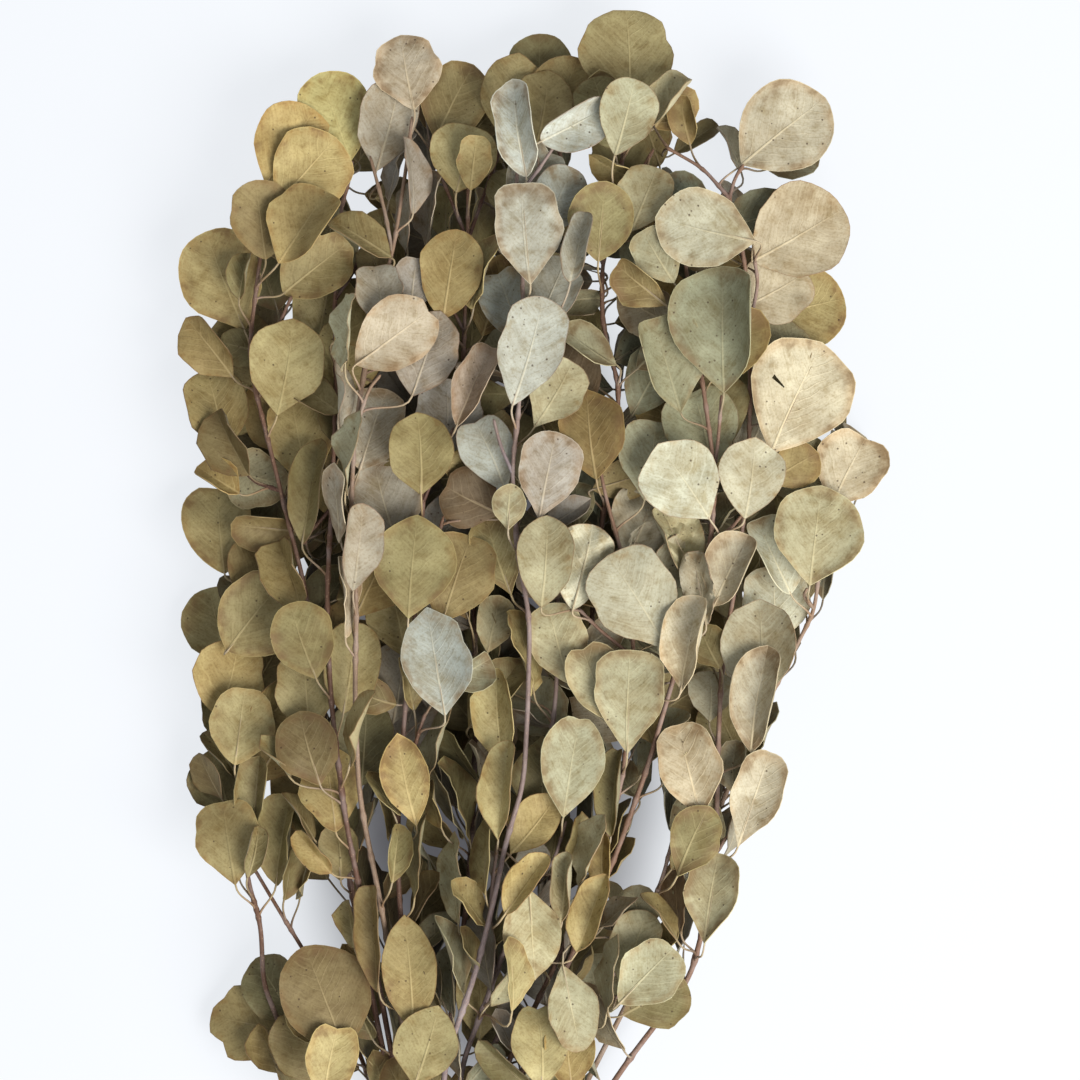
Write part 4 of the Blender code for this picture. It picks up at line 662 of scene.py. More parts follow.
class Leaf:
    """A blade bent over its midrib, with the stalk that roots it in its branch."""

    def __init__(self, centre, length, width, heading, tilt, form, draw):
        roll, left, right, curl, wave = FORMS[form]
        loose = 0.0 if form == "pressed" else 1.0
        self.length = length
        self.width = width
        self.tone = "olive"
        self.kind = ""
        self.shown = False
        self.folds = {
            -1: math.radians(left + loose * draw.uniform(-LOOSE_FOLD, LOOSE_FOLD)),
            1: math.radians(right + loose * draw.uniform(-LOOSE_FOLD, LOOSE_FOLD)),
        }
        self.curl = math.radians(curl + loose * draw.uniform(-LOOSE_CURL, LOOSE_CURL))
        self.twist = math.radians(loose * draw.uniform(-LOOSE_TWIST, LOOSE_TWIST))
        self.wave = wave
        self.phases = {-1: draw.uniform(0, math.tau), 1: draw.uniform(0, math.tau)}
        base_point, tip_point = points_at(centre[0], centre[1])
        self.wedge = draw.uniform(*base_point)
        self.blunt = draw.uniform(*tip_point)
        self.peak = self.wedge / (self.wedge + self.blunt)
        loose_roll = math.radians(loose * draw.uniform(-LOOSE_ROLL, LOOSE_ROLL))
        self.turn(centre, heading, tilt, math.radians(roll) + loose_roll)

    def turn(self, centre, heading, tilt, roll):
        """Set the blade's place: its axis, its side and its upper face's normal."""
        turned = math.radians(heading)
        self.axis = Vector((
            math.sin(turned) * math.cos(tilt),
            math.cos(turned) * math.cos(tilt),
            math.sin(tilt),
        ))
        level = Vector((math.cos(turned), -math.sin(turned), 0.0))
        upright = level.cross(self.axis)
        self.side = level * math.cos(roll) + upright * math.sin(roll)
        self.normal = self.side.cross(self.axis)
        self.base = Vector(centre) - self.axis * (self.length / 2)

    def half_width(self, along):
        """Half the blade's width at a share of its length."""
        peak = self.peak ** self.wedge * (1.0 - self.peak) ** self.blunt
        return self.width / 2 * along ** self.wedge * (1.0 - along) ** self.blunt / peak

    def place(self, along, side, reach):
        """A point on the middle of the blade, reach millimetres out from the midrib."""
        bend = self.curl * along
        if abs(self.curl) < 0.001:
            y, z = self.length * along, 0.0
        else:
            radius = self.length / self.curl
            y, z = radius * math.sin(bend), radius * (math.cos(bend) - 1.0)
        fold = self.folds[side]
        start = fold * FOLD_START
        growth = fold * FOLD_GROWTH / (self.width / 2)
        if abs(growth) < 0.0001:
            out, lift = reach, 0.0
        else:
            out = (math.sin(start + growth * reach) - math.sin(start)) / growth
            lift = (math.cos(start) - math.cos(start + growth * reach)) / growth
        share = reach / (self.width / 2)
        lift += self.wave * share * share * math.sin(WAVES * along + self.phases[side])
        turned = self.twist * (along - TWIST_MIDDLE)
        x = side * out * math.cos(turned) - lift * math.sin(turned)
        up = side * out * math.sin(turned) + lift * math.cos(turned)
        return (
            self.base
            + self.side * x
            + self.axis * (y + up * math.sin(bend))
            + self.normal * (z + up * math.cos(bend))
        )

    def rim(self, stations):
        """The blade's outline from the right of its base, round the tip, to the left."""
        right = [self.place(along, 1, self.half_width(along)) for along in stations]
        left = [self.place(along, -1, self.half_width(along)) for along in reversed(stations)]
        return right + [self.place(1.0, 1, 0.0)] + left

    def root_in(self, places):
        """Choose where the stalk leaves the branch, and bend the stalk to the blade."""
        def unsuited(place):
            way = self.base - place[0]
            reach = way.length
            facing = way.dot(self.axis) / reach if reach > 0.001 else 0.0
            return abs(reach - STALK_REACH) + STALK_STRAIGHTNESS * (1.0 - facing)

        root, direction = min(places, key=unsuited)
        self.root = root
        reach = (self.base - root).length
        out = (self.base - root).normalized() * STALK_WAY_OUT + direction * (1.0 - STALK_WAY_OUT)
        self.handles = (root + out * reach * HANDLE_SHARE, self.base - self.axis * reach * HANDLE_SHARE)
        return reach

    def stalk(self, share):
        """A point along the stalk, 0 at its root and 1 at the blade."""
        rest = 1.0 - share
        first, second = self.handles
        return (
            self.root * rest ** 3
            + first * (3 * share * rest * rest)
            + second * (3 * share * share * rest)
            + self.base * share ** 3
        )


def leaf_solid(leaf, stations, bends, grow, stalked=True):
    """The leaf as a closed solid: points and faces. Both faces are split alike, as fans."""
    half = LEAF_THICKNESS / 2 + grow
    width = STALK_RADIUS + grow
    rim = [leaf.base + leaf.side * width] + leaf.rim(stations) + [leaf.base - leaf.side * width]
    middle = leaf.place(0.5, 1, 0.0)
    count = len(rim)
    normals = [Vector() for _ in range(count + 1)]
    for index in range(count):
        after = (index + 1) % count
        across = (rim[index] - middle).cross(rim[after] - middle)
        for corner in (index, after, count):
            normals[corner] += across
    normals = [normal.normalized() for normal in normals]
    normals[0] = leaf.normal
    normals[count - 1] = leaf.normal

    points = [place + normal * half for place, normal in zip(rim, normals)]
    points.append(middle + normals[count] * half)
    faces = [(count, index, (index + 1) % count) for index in range(count)]
    low_base = len(points)
    points.append(leaf.base - leaf.normal * (half + BASE_DEPTH * STALK_RADIUS))
    points.extend(rim[index] - normals[index] * half for index in range(1, count - 1))
    low_middle = len(points)
    points.append(middle - normals[count] * half)
    low = list(range(low_base, low_middle)) + [low_base]
    for index in range(count - 1):
        faces.append((low_middle, low[index + 1], low[index]))
        faces.append((low[index], low[index + 1], index + 1))
        faces.append((low[index], index + 1, index))
    if not stalked:
        faces.append((0, count - 1, low_base))
        return points, faces

    ring = (0, count - 1, low_base)
    for step in range(bends - 1, -1, -1):
        share = step / bends
        place = leaf.stalk(share)
        ahead = (leaf.stalk(min(1.0, share + LOOK_AHEAD)) - place).normalized()
        across = (leaf.side - ahead * leaf.side.dot(ahead)).normalized()
        upright = across.cross(ahead)
        size = width * (ROOT_SIZE if step == 0 else 1.0)
        first = len(points)
        points.append(place + across * size + upright * size * CORNER_HEIGHT)
        points.append(place - across * size + upright * size * CORNER_HEIGHT)
        points.append(place - upright * size)
        right, left, low = ring
        new_right, new_left, new_low = first, first + 1, first + 2
        faces.extend([(right, left, new_left), (right, new_left, new_right)])
        faces.extend([(low, right, new_right), (low, new_right, new_low)])
        faces.extend([(left, low, new_low), (left, new_low, new_left)])
        ring = (new_right, new_left, new_low)
    faces.append(ring)
    return points, faces


def bounds_of(points):
    """The lowest and highest corner of a set of points."""
    low = Vector([min(point[axis] for point in points) for axis in range(3)])
    high = Vector([max(point[axis] for point in points) for axis in range(3)])
    return low, high


class Placed:
    """A solid that is already in the bunch, for testing what comes next against it."""

    def __init__(self, branch, points, faces):
        self.branch = branch
        self.blade = self
        self.low, self.high = bounds_of(points)
        self.tree = BVHTree.FromPolygons([tuple(point) for point in points], faces)

    def meets(self, other):
        """True where the two solids' surfaces cross."""
        for axis in range(3):
            if self.low[axis] > other.high[axis] or self.high[axis] < other.low[axis]:
                return False
        return bool(self.tree.overlap(other.tree))


def tube_solid(points, radii, sides):
    """A closed tube along a run of points."""
    rings = []
    upright = Vector((0.0, 0.0, 1.0))
    solid_points = []
    for index, (point, radius) in enumerate(zip(points, radii)):
        before = points[max(0, index - 1)]
        after = points[min(len(points) - 1, index + 1)]
        ahead = (after - before).normalized()
        across = ahead.cross(upright).normalized()
        upward = across.cross(ahead)
        first = len(solid_points)
        for side in range(sides):
            turn = math.tau * (side + 0.5) / sides
            solid_points.append(point + (across * math.cos(turn) + upward * math.sin(turn)) * radius)
        rings.append(range(first, first + sides))
    faces = [tuple(rings[0]), tuple(reversed(rings[-1]))]
    for ring, after in zip(rings, rings[1:]):
        for side in range(sides):
            beside = (side + 1) % sides
            faces.append((ring[side], after[side], after[beside], ring[beside]))
    return solid_points, faces


def taper(points, low, tip):
    """Radii from low to tip along a run of points."""
    last = len(points) - 1
    return [low + (tip - low) * index / last for index in range(last + 1)]


class Grown:
    """A branch as it is laid out: its wood, and the leaves that are placed on it."""

    def __init__(self, name, plan, draw):
        self.name = name
        self.leaves = []
        self.runs = [stem_points(plan, draw)]
        self.radii = [taper(self.runs[0], STEM_RADIUS_LOW, STEM_RADIUS_TIP)]
        main = walk(self.runs[0], ROOT_STEP)
        for twig in plan["twigs"]:
            points = [in_pile(*place) for place in twig]
            root = min(main, key=lambda place: (place[0] - points[0]).length)[0]
            points[0] = root
            self.runs.append(points)
            self.radii.append(taper(points, TWIG_RADIUS_ROOT, TWIG_RADIUS_TIP))
        self.places = []
        for run in self.runs:
            self.places.extend(place for place in walk(run, ROOT_STEP) if place[0].y > LEAFY_FROM_Y)

    def wood(self, grow):
        """The stem and the twigs as separate solids."""
        solids = []
        for index, (run, radii) in enumerate(zip(self.runs, self.radii)):
            sides = PLAIN_STEM_SIDES if index == 0 else PLAIN_TWIG_SIDES
            solids.append(tube_solid(run, [radius + grow for radius in radii], sides))
        return solids


def inside(outline, x, y):
    """True for a place inside a closed outline."""
    found = False
    for (x1, y1), (x2, y2) in zip(outline, outline[1:] + outline[:1]):
        if (y1 > y) != (y2 > y) and x < x1 + (y - y1) / (y2 - y1) * (x2 - x1):
            found = not found
    return found


def cover(cells, leaf, stations):
    """Count the cells of the plan that a leaf covers."""
    shape = [(point.x, point.y) for point in [leaf.base] + leaf.rim(stations)]
    columns = [x / CELL for x, _ in shape]
    rows = [y / CELL for _, y in shape]
    for column in range(math.floor(min(columns)), math.ceil(max(columns)) + 1):
        for row in range(math.floor(min(rows)), math.ceil(max(rows)) + 1):
            if (column, row) in cells and inside(shape, column * CELL, row * CELL):
                cells[(column, row)] += 1


def hides_gap(shape):
    """True for a leaf's shape in plan that lies over a place where the table shows."""
    for x, y, reach in GAPS:
        for turn in range(5):
            out = GAP_TEST_SHARE * reach if turn else 0.0
            place = (x + out * math.cos(turn * math.pi / 2), y + out * math.sin(turn * math.pi / 2))
            if inside(shape, *place):
                return True
    return False


def open_cells(branches):
    """The cells of the plan where leaves may lie, each with the number that lie over it."""
    cells = {}
    for column in range(round(PLAN_X[0] / CELL), round(PLAN_X[1] / CELL)):
        for row in range(round(PLAN_Y[0] / CELL), round(PLAN_Y[1] / CELL)):
            x, y = column * CELL, row * CELL
            in_gap = any(math.hypot(x - gx, y - gy) < reach for gx, gy, reach in GAPS)
            if inside(OUTLINE, x, y) and not in_gap:
                cells[(column, row)] = 0
    for branch in branches.values():
        for leaf, stations, _ in branch.leaves:
            cover(cells, leaf, stations)
    return cells


def inner_tone(x, draw):
    """A tone for a leaf inside the pile, by its place across it."""
    return draw.choice(next(tones for limit, tones in INNER_TONES if x < limit))


class Bunch:
    """All the branches, and the rules by which leaves find their place among them."""

    def __init__(self):
        self.branches = {}
        self.placed = []
        for number, (name, plan) in enumerate(BRANCHES.items()):
            branch = Grown(name, plan, random.Random(SEED + number))
            self.branches[name] = branch
            for points, faces in branch.wood(CLEARANCE):
                self.placed.append(Placed(name, points, faces))

    def fits(self, branch, leaf, stations, bends):
        """True where a leaf is clear of the table, other branches and its own blades."""
        points, faces = leaf_solid(leaf, stations, bends, 0.0)
        if min(point.z for point in points) < -TABLE_DIP:
            return False
        points, faces = leaf_solid(leaf, stations, bends, CLEARANCE)
        whole = Placed(branch.name, points, faces)
        points, faces = leaf_solid(leaf, stations, bends, CLEARANCE, stalked=False)
        whole.blade = Placed(branch.name, points, faces)
        for other in self.placed:
            if other.branch != branch.name:
                if whole.meets(other):
                    return False
            elif whole.blade.meets(other) or other.blade is not other and whole.meets(other.blade):
                return False
        self.placed.append(whole)
        branch.leaves.append((leaf, stations, bends))
        return True

    def lay(self, name, plan, number, tone, kind):
        """Lay a leaf where it is drawn, lifting, sinking or turning it until it is clear."""
        x, y, length, width, heading, depth, form = plan
        branch = self.branches[name]
        draw = random.Random(SEED * DRAWN_SEEDS + number)
        height = in_pile(x, y, depth).z
        up = 1 if depth > LIFTED_DEPTH else -1
        for attempt in range(ATTEMPTS):
            loose = attempt / ATTEMPTS
            lift = up * (attempt + 1) // 2 * LIFT_STEP * (1 if attempt % 2 else -1)
            turned = heading + draw.uniform(-LOOSEST_TURN, LOOSEST_TURN) * loose
            tilt = draw.uniform(*DRAWN_TILT) + draw.uniform(-LOOSEST_TURN, LOOSEST_TURN) * loose
            size = DRAWN_GROWTH * (1.0 - LOOSEST_SHRINK * loose)
            centre = (
                x + draw.uniform(-LOOSEST_SHIFT, LOOSEST_SHIFT) * loose,
                y + draw.uniform(-LOOSEST_SHIFT, LOOSEST_SHIFT) * loose,
                height + lift,
            )
            leaf = Leaf(centre, length * size, width * size, turned, math.radians(tilt), form, draw)
            leaf.tone = tone
            leaf.kind = kind
            leaf.shown = True
            if leaf.root_in(branch.places) < SHORTEST_STALK:
                continue
            shown = depth > SHOWN_DEPTH
            stations = SHOWN_STATIONS if shown else HIDDEN_STATIONS
            if self.fits(branch, leaf, stations, SHOWN_BENDS if shown else HIDDEN_BENDS):
                return

    def press(self, name, place, number):
        """Lay a leaf flat on the table, under the bunch."""
        x, y, heading = place
        branch = self.branches[name]
        draw = random.Random(SEED * PRESSED_SEEDS + number)
        for attempt in range(ATTEMPTS):
            loose = attempt / ATTEMPTS
            centre = (
                x + draw.uniform(-PRESSED_SHIFT, PRESSED_SHIFT) * LOOSEST_SHIFT * loose,
                y + draw.uniform(-PRESSED_SHIFT, PRESSED_SHIFT) * LOOSEST_SHIFT * loose,
                LEAF_THICKNESS / 2,
            )
            turned = heading + draw.uniform(-LOOSEST_TURN, LOOSEST_TURN) * loose
            leaf = Leaf(centre, PRESSED_LENGTH, PRESSED_WIDTH, turned, 0.0, "pressed", draw)
            leaf.root_in(branch.places)
            leaf.tone = "moss"
            if self.fits(branch, leaf, SHOWN_STATIONS, SHOWN_BENDS):
                return

    def sow(self, rule, draw, tones):
        """Fill what the leaves so far leave open with leaves inside the pile."""
        cells = open_cells(self.branches)
        sown = 0
        for _ in range(rule["tries"]):
            if sown == rule["count"]:
                break
            least = min(cells.values())
            column, row = draw.choice([cell for cell, count in cells.items() if count == least])
            leaf = self.sow_at(column * CELL, row * CELL, rule, draw, tones)
            if leaf is None:
                cells[(column, row)] += 1
                continue
            cover(cells, leaf, HIDDEN_STATIONS)
            sown += 1

    def sow_at(self, x, y, rule, draw, tones):
        """Try to grow one leaf over a place, from the branches that pass near it."""
        near = []
        for branch in self.branches.values():
            for place, _ in branch.places:
                reach = math.hypot(x - place.x, y - place.y)
                if rule["nearest"] < reach < rule["farthest"] and y - place.y > rule["below"] * reach:
                    rank = reach + draw.uniform(0.0, rule["looseness"])
                    near.append((rank, branch.name, place.x, place.y, place.z))
        low = "low_" if y < LOW_LEAVES_Y else ""
        for _, name, root_x, root_y, root_z in sorted(near)[:rule["attempts"]]:
            length = draw.uniform(*rule["length"])
            width = length * draw.uniform(*rule["shape"])
            heading = math.degrees(math.atan2(x - root_x, y - root_y))
            heading += draw.uniform(-rule["turn"], rule["turn"])
            for forms in rule[low + "forms"]:
                form = draw.choice(forms)
            if low:
                heading *= LOW_TURN_SHARE
            height = draw.uniform(*rule[low + "height"]) * pile_height(x, y)
            middle = rule["own"] * height + rule["of_root"] * min(root_z, height)
            centre = (x, y, max(rule["lowest"], middle))
            tilt = math.radians(draw.uniform(-rule["tilt"], rule["tilt"]))
            leaf = Leaf(centre, length, width, heading, tilt, form, draw)
            if not SHORTEST_STALK < leaf.root_in(self.branches[name].places) < LONGEST_STALK:
                continue
            shape = [(point.x, point.y) for point in [leaf.base] + leaf.rim(HIDDEN_STATIONS)]
            if not all(inside(OUTLINE, *place) for place in shape[1:]) or hides_gap(shape):
                continue
            leaf.tone = inner_tone(x, tones)
            if self.fits(self.branches[name], leaf, HIDDEN_STATIONS, HIDDEN_BENDS):
                return leaf
        return None

    def grow(self):
        """Lay the pressed leaves, the drawn ones from the top of the pile down, and those inside it."""
        number = 0
        for name, places in PRESSED.items():
            for place in places:
                number += 1
                self.press(name, place, number)
        drawn = []
        for name, plan in BRANCHES.items():
            kinds = plan.get("kinds", {})
            for place, (leaf, tone) in enumerate(zip(plan["leaves"], plan["tones"].split())):
                drawn.append((name, leaf, len(drawn), tone, kinds.get(place, "")))
        for name, leaf, index, tone, kind in sorted(drawn, key=lambda entry: -entry[1][5]):
            self.lay(name, leaf, index, tone, kind)
        self.sow(HIDDEN_LEAVES, random.Random(SEED), random.Random("inner tones"))
        filling = random.Random("fill in")
        self.sow(EXTRA_LEAVES, filling, filling)


# The finer leaves and stems: the blade's thickness (mm), the rings of each rod, how far corners
# are rounded off and in how many steps, and how much the wood swells where a stalk starts, and
# over what reach (mm)
THICKNESS = 0.42
STEM_RINGS = 230
TWIG_RINGS = 22
STALK_RINGS = 9
MIDRIB_RINGS = 6
CORNER_SHARE = 0.32
CORNER_STEPS = 6
NODE_SWELL = 0.35
NODE_REACH = 1.6
# The rings of a twig that lead it into its stem, how much a rod narrows at its last ring, and
# how much of the stalks' two tones it takes on towards its tip
SEAT_RINGS = 8
LAST_RING = 0.55
TIP_REDDER = 0.5
TIP_PALER = 0.15
# A stalk: its radius (mm), how much thicker it is at its root, how much of the blade's tone it
# has, and how pale it starts
STALK_THICK = 0.52
STALK_FOOT = 0.32
STALK_TINT = 0.35
STALK_PALE_FROM = 0.25
# Its midrib: how far along the blade it runs, how deep under it (mm), its radius at its start
# and how much of that it loses (mm), and how much of the blade's tone it has
MIDRIB_REACH = 0.82
MIDRIB_DEPTH = 0.14
MIDRIB_THICK = 0.4
MIDRIB_TAPER = 0.3
MIDRIB_TINT = 0.45
# How light and how warm single leaves are, and how much darker a leaf is painted as it lies deeper in
# the pile, as painted shade and partly the inner leaves' own darker tone: one that shows, and one
# inside, from its start
LEAF_LIGHT = (0.92, 1.06)
LEAF_WARMTH = 0.012
SHOWN_PAINTED_SHADE = 0.16
INNER_LIGHT = 0.96
INNER_PAINTED_SHADE = 0.36
# How much of their tone is left to the leaves pressed flat on the table under the bunch, as painted
# shade
PRESSED_PAINTED_SHADE = 0.82
# Edges sharper than this stay sharp on a blade (degrees)
SHARP_ANGLE = 38

# Tones of the dried leaves, as seen in daylight (sRGB)
LEAF_TONES = {
    "straw": (0.74, 0.69, 0.46), "gold": (0.63, 0.56, 0.37), "olive": (0.605, 0.55, 0.375),
    "moss": (0.51, 0.47, 0.315), "bronze": (0.525, 0.46, 0.30), "umber": (0.46, 0.385, 0.285),
    "beige": (0.64, 0.60, 0.52), "taupe": (0.57, 0.54, 0.49), "rose": (0.62, 0.56, 0.49),
    "silver": (0.68, 0.69, 0.65), "steel": (0.61, 0.61, 0.56), "sage": (0.63, 0.61, 0.49),
    "mint": (0.69, 0.675, 0.58), "tan": (0.69, 0.65, 0.55), "cream": (0.73, 0.70, 0.60),
    "green": (0.56, 0.56, 0.45), "khaki": (0.45, 0.385, 0.245),
}
# Tones of the leaves inside the pile, from its left edge to its right edge
INNER_TONES = [
    (-70, ("olive", "moss", "bronze", "gold", "olive")),
    (-30, ("beige", "taupe", "olive", "moss", "sage", "bronze")),
    (22, ("sage", "olive", "moss", "taupe", "beige", "olive")),
    (math.inf, ("sage", "tan", "green", "olive", "mint", "gold")),
]
# Tones of the stems, the stalks, the stems' cut ends and the twine
WOOD_TONES = {
    "redwood": (0.31, 0.21, 0.17), "rosewood": (0.45, 0.35, 0.30), "ash": (0.54, 0.47, 0.40),
    "bloom": (0.50, 0.46, 0.48), "stalk": (0.70, 0.62, 0.49), "stalk_red": (0.47, 0.34, 0.26),
    "cut": (0.80, 0.70, 0.54), "twine": (0.72, 0.58, 0.40),
}


def linear(colour):
    """A colour as seen, as the shader's linear values."""
    return tuple(((c + 0.055) / 1.055) ** 2.4 if c > 0.04045 else c / 12.92 for c in colour)


def blend(first, second, share):
    """A colour between two others."""
    return tuple(a + (b - a) * share for a, b in zip(first, second))


# Modelling


def choose_only(piece):
    """Select one piece, and nothing else."""
    bpy.ops.object.select_all(action="DESELECT")
    piece.select_set(True)
    bpy.context.view_layer.objects.active = piece


def mark(piece, name, kind, values):
    """Give each point of a piece its own value."""
    attribute = piece.data.attributes.new(name, kind, "POINT")
    key = {"FLOAT": "value", "FLOAT_VECTOR": "vector", "FLOAT_COLOR": "color"}[kind]
    attribute.data.foreach_set(key, [number for value in values for number in value])


def round_leaf(name, corners, rings):
    """A leaf modelled flat and round: its rim, the rings inside it and its middle."""
    bpy.ops.object.select_all(action="DESELECT")
    bpy.ops.mesh.primitive_circle_add(vertices=corners, radius=1.0, fill_type="NGON")
    leaf = bpy.context.object
    leaf.name = name
    bpy.ops.object.mode_set(mode="EDIT")
    bpy.ops.mesh.select_all(action="SELECT")
    for width in rings:
        bpy.ops.mesh.inset(thickness=width, depth=0.0)
    bpy.ops.mesh.poke()
    bpy.ops.object.mode_set(mode="OBJECT")
    edge = leaf.data.attributes.new("edge", "FLOAT", "POINT")
    edge.data.foreach_set("value", [1.0 - point.co.length for point in leaf.data.vertices])
    return leaf


def another(blank, name):
    """A copy of a piece, with its own mesh."""
    piece = blank.copy()
    piece.data = blank.data.copy()
    piece.name = name
    bpy.context.scene.collection.objects.link(piece)
    return piece


def pick(leaf, kind, index):
    """Select one of the vertices or polygons of a flat leaf, in edit mode."""
    choose_only(leaf)
    bpy.ops.object.mode_set(mode="EDIT")
    bpy.ops.mesh.select_all(action="DESELECT")
    bpy.ops.object.mode_set(mode="OBJECT")
    getattr(leaf.data, kind)[index].select = True
    bpy.ops.object.mode_set(mode="EDIT")


def push_rim(leaf, turn, depth, reach):
    """Push the rim of a flat leaf in towards its middle, at a place round it."""
    place = Vector((math.sin(turn), math.cos(turn), 0.0))
    nearest = min(leaf.data.vertices, key=lambda point: (point.co - place).length).index
    pick(leaf, "vertices", nearest)
    bpy.ops.transform.translate(
        value=place * -depth,
        use_proportional_edit=True,
        proportional_size=reach,
        proportional_edit_falloff="SMOOTH",
    )
    bpy.ops.object.mode_set(mode="OBJECT")


def pierce(leaf, x, y, rim):
    """Cut a small hole in a flat leaf, through the face at a place on it."""
    place = Vector((x, y, 0.0))
    face = min(leaf.data.polygons, key=lambda polygon: (polygon.center - place).length).index
    pick(leaf, "polygons", face)
    bpy.ops.mesh.select_mode(type="FACE")
    bpy.ops.mesh.inset(thickness=rim, depth=0.0)
    bpy.ops.mesh.delete(type="FACE")
    bpy.ops.mesh.select_mode(type="VERT")
    bpy.ops.object.mode_set(mode="OBJECT")


def straight_rod(name, sides, rings):
    """A rod modelled upright, one ring a unit, with its cut face at the bottom."""
    bpy.ops.object.select_all(action="DESELECT")
    bpy.ops.mesh.primitive_circle_add(vertices=sides, radius=1.0, fill_type="NGON")
    rod = bpy.context.object
    rod.name = name
    bpy.ops.object.mode_set(mode="EDIT")
    bpy.ops.mesh.select_all(action="SELECT")
    for _ in range(rings - 1):
        bpy.ops.mesh.extrude_region_move(TRANSFORM_OT_translate={"value": (0.0, 0.0, 1.0)})
    bpy.ops.mesh.select_all(action="SELECT")
    bpy.ops.mesh.normals_make_consistent(inside=False)
    bpy.ops.object.mode_set(mode="OBJECT")
    grain = rod.data.uv_layers.get("grain") or rod.data.uv_layers.new(name="grain")
    for face in rod.data.polygons:
        turns = []
        for corner in face.loop_indices:
            place = rod.data.vertices[rod.data.loops[corner].vertex_index].co
            turns.append(math.atan2(place.y, place.x) / math.tau % 1.0)
        wraps = len(turns) == 4 and max(turns) - min(turns) > 0.5
        for corner, turn in zip(face.loop_indices, turns):
            place = rod.data.vertices[rod.data.loops[corner].vertex_index].co
            grain.data[corner].uv = (turn + 1.0 if wraps and turn < 0.5 else turn, place.z)
    return rod


def give(piece, finish):
    """Give a piece one finish all over."""
    piece.data.materials.clear()
    piece.data.materials.append(finish)


def drop_spare_maps(piece):
    """Leave a piece only the map that its finish follows."""
    for name in [layer.name for layer in piece.data.uv_layers if layer.name != "grain"]:
        piece.data.uv_layers.remove(piece.data.uv_layers[name])


# The flat leaves, of radius 1: how many corners each has, and how wide the rings are inside its rim
FLAT_LEAVES = {
    "whole": (32, (0.1, 0.26, 0.32)),
    "crumpled": (36, (0.08, 0.1, 0.12, 0.14, 0.16, 0.14)),
    "inner": (16, (0.12, 0.4)),
}
# Where the rim of a whole leaf is pushed in: the turn from its tip, how deep and over what reach
WAVE_DEPTHS = (0.07, 0.1, 0.05, 0.09, 0.06)
PUSHED_RIMS = {
    "notched": [(0.0, 0.16, 0.45)],
    "nibbled": [(1.1, 0.11, 0.38), (-2.0, 0.07, 0.4)],
    "torn": [(-0.8, 0.2, 0.42), (0.5, 0.1, 0.4)],
    "wavy": [(-2.2 + step * 1.1, depth, 0.42) for step, depth in enumerate(WAVE_DEPTHS)],
    "holed": [],
}
# The hole in a holed leaf: where it is, and how wide a rim of its face is left
HOLE = (-0.5, 0.1, 0.02)
# How many sides a stem, a twig and a stalk have
STEM_SIDES = 8
TWIG_SIDES = 7
STALK_SIDES = 6


class Blanks:
    """The few pieces that are modelled once and then copied: leaves, stalks, twigs and stems."""

    def __init__(self):
        self.leaves = {}
        for kind, (corners, rings) in FLAT_LEAVES.items():
            self.leaves[kind] = round_leaf("leaf_" + kind, corners, rings)
        for kind, pushes in PUSHED_RIMS.items():
            self.leaves[kind] = another(self.leaves["whole"], "leaf_" + kind)
            for turn, depth, reach in pushes:
                push_rim(self.leaves[kind], turn, depth, reach)
        pierce(self.leaves["holed"], *HOLE)
        self.stem = straight_rod("stem", STEM_SIDES, STEM_RINGS)
        self.twig = straight_rod("twig", TWIG_SIDES, TWIG_RINGS)
        self.stalk = straight_rod("stalk", STALK_SIDES, STALK_RINGS + MIDRIB_RINGS)

    def clear(self):
        """Remove the pieces that were only copied from."""
        for piece in [*self.leaves.values(), self.stem, self.twig, self.stalk]:
            bpy.data.objects.remove(piece)


# The kinds of blade that a drawn leaf may be, each as often as it stands here
KINDS = ["whole"] * 9 + ["wavy"] * 7 + ["notched"] * 3 + ["nibbled"] * 2 + ["torn"]
# How far a blade's surface, its rim and its rolled edge go up and down (mm), how much it twists,
# how much its base is drawn in, and how much wider one half is than the other
CRUMPLE = (1.0, 2.8)
RUFFLE = (0.8, 4.2)
ROLLS = (0.0, 0.0, 2.0, 4.0)
TWIST = 0.16
NARROWING = (0.1, 0.5)
LOPSIDED = 0.07
# The same for a crumpled blade: its surface, its rim and its creases (mm)
CRUMPLED = (4.0, 6.5, 10.0)
# How far a blade's tip is drawn out, as a share of its length
TIPS = (0.0, 0.0, 0.02, 0.04, 0.06)
# How far up the blade its base is drawn in, as a share of its length, and what is left at its end
NARROW_REACH = 0.32
NARROWEST = 0.02
# How far a blade's outline wanders, and how large the wanderings are on a blade of radius 1
UNEVEN = 0.1
UNEVEN_SCALE = 1.9
# How far apart the ripples, small ripples, ruffles and creases are (mm)
RIPPLES = 15.0
SMALL_RIPPLES = 6.0
RUFFLES = 8.5
CREASES = 10.0
# The strength of the small ripples, how much of the rippling there is at the midrib, from where
# along the blade the creases are full, how closely the rolled edge keeps to its side, and how
# narrow and how short the drawn-out tip is
SMALL_RIPPLE_SHARE = 0.3
MIDRIB_RIPPLE = 0.35
CREASED_FROM = 0.25
ROLL_POWER = 5
TIP_WIDTH = 0.4
TIP_POWER = 4
# How far apart the places may be where single blades take their noise from
NOISE_SPAN = 90
# One unit of the map that the finishes follow, in millimetres
MAP_UNIT = 100.0


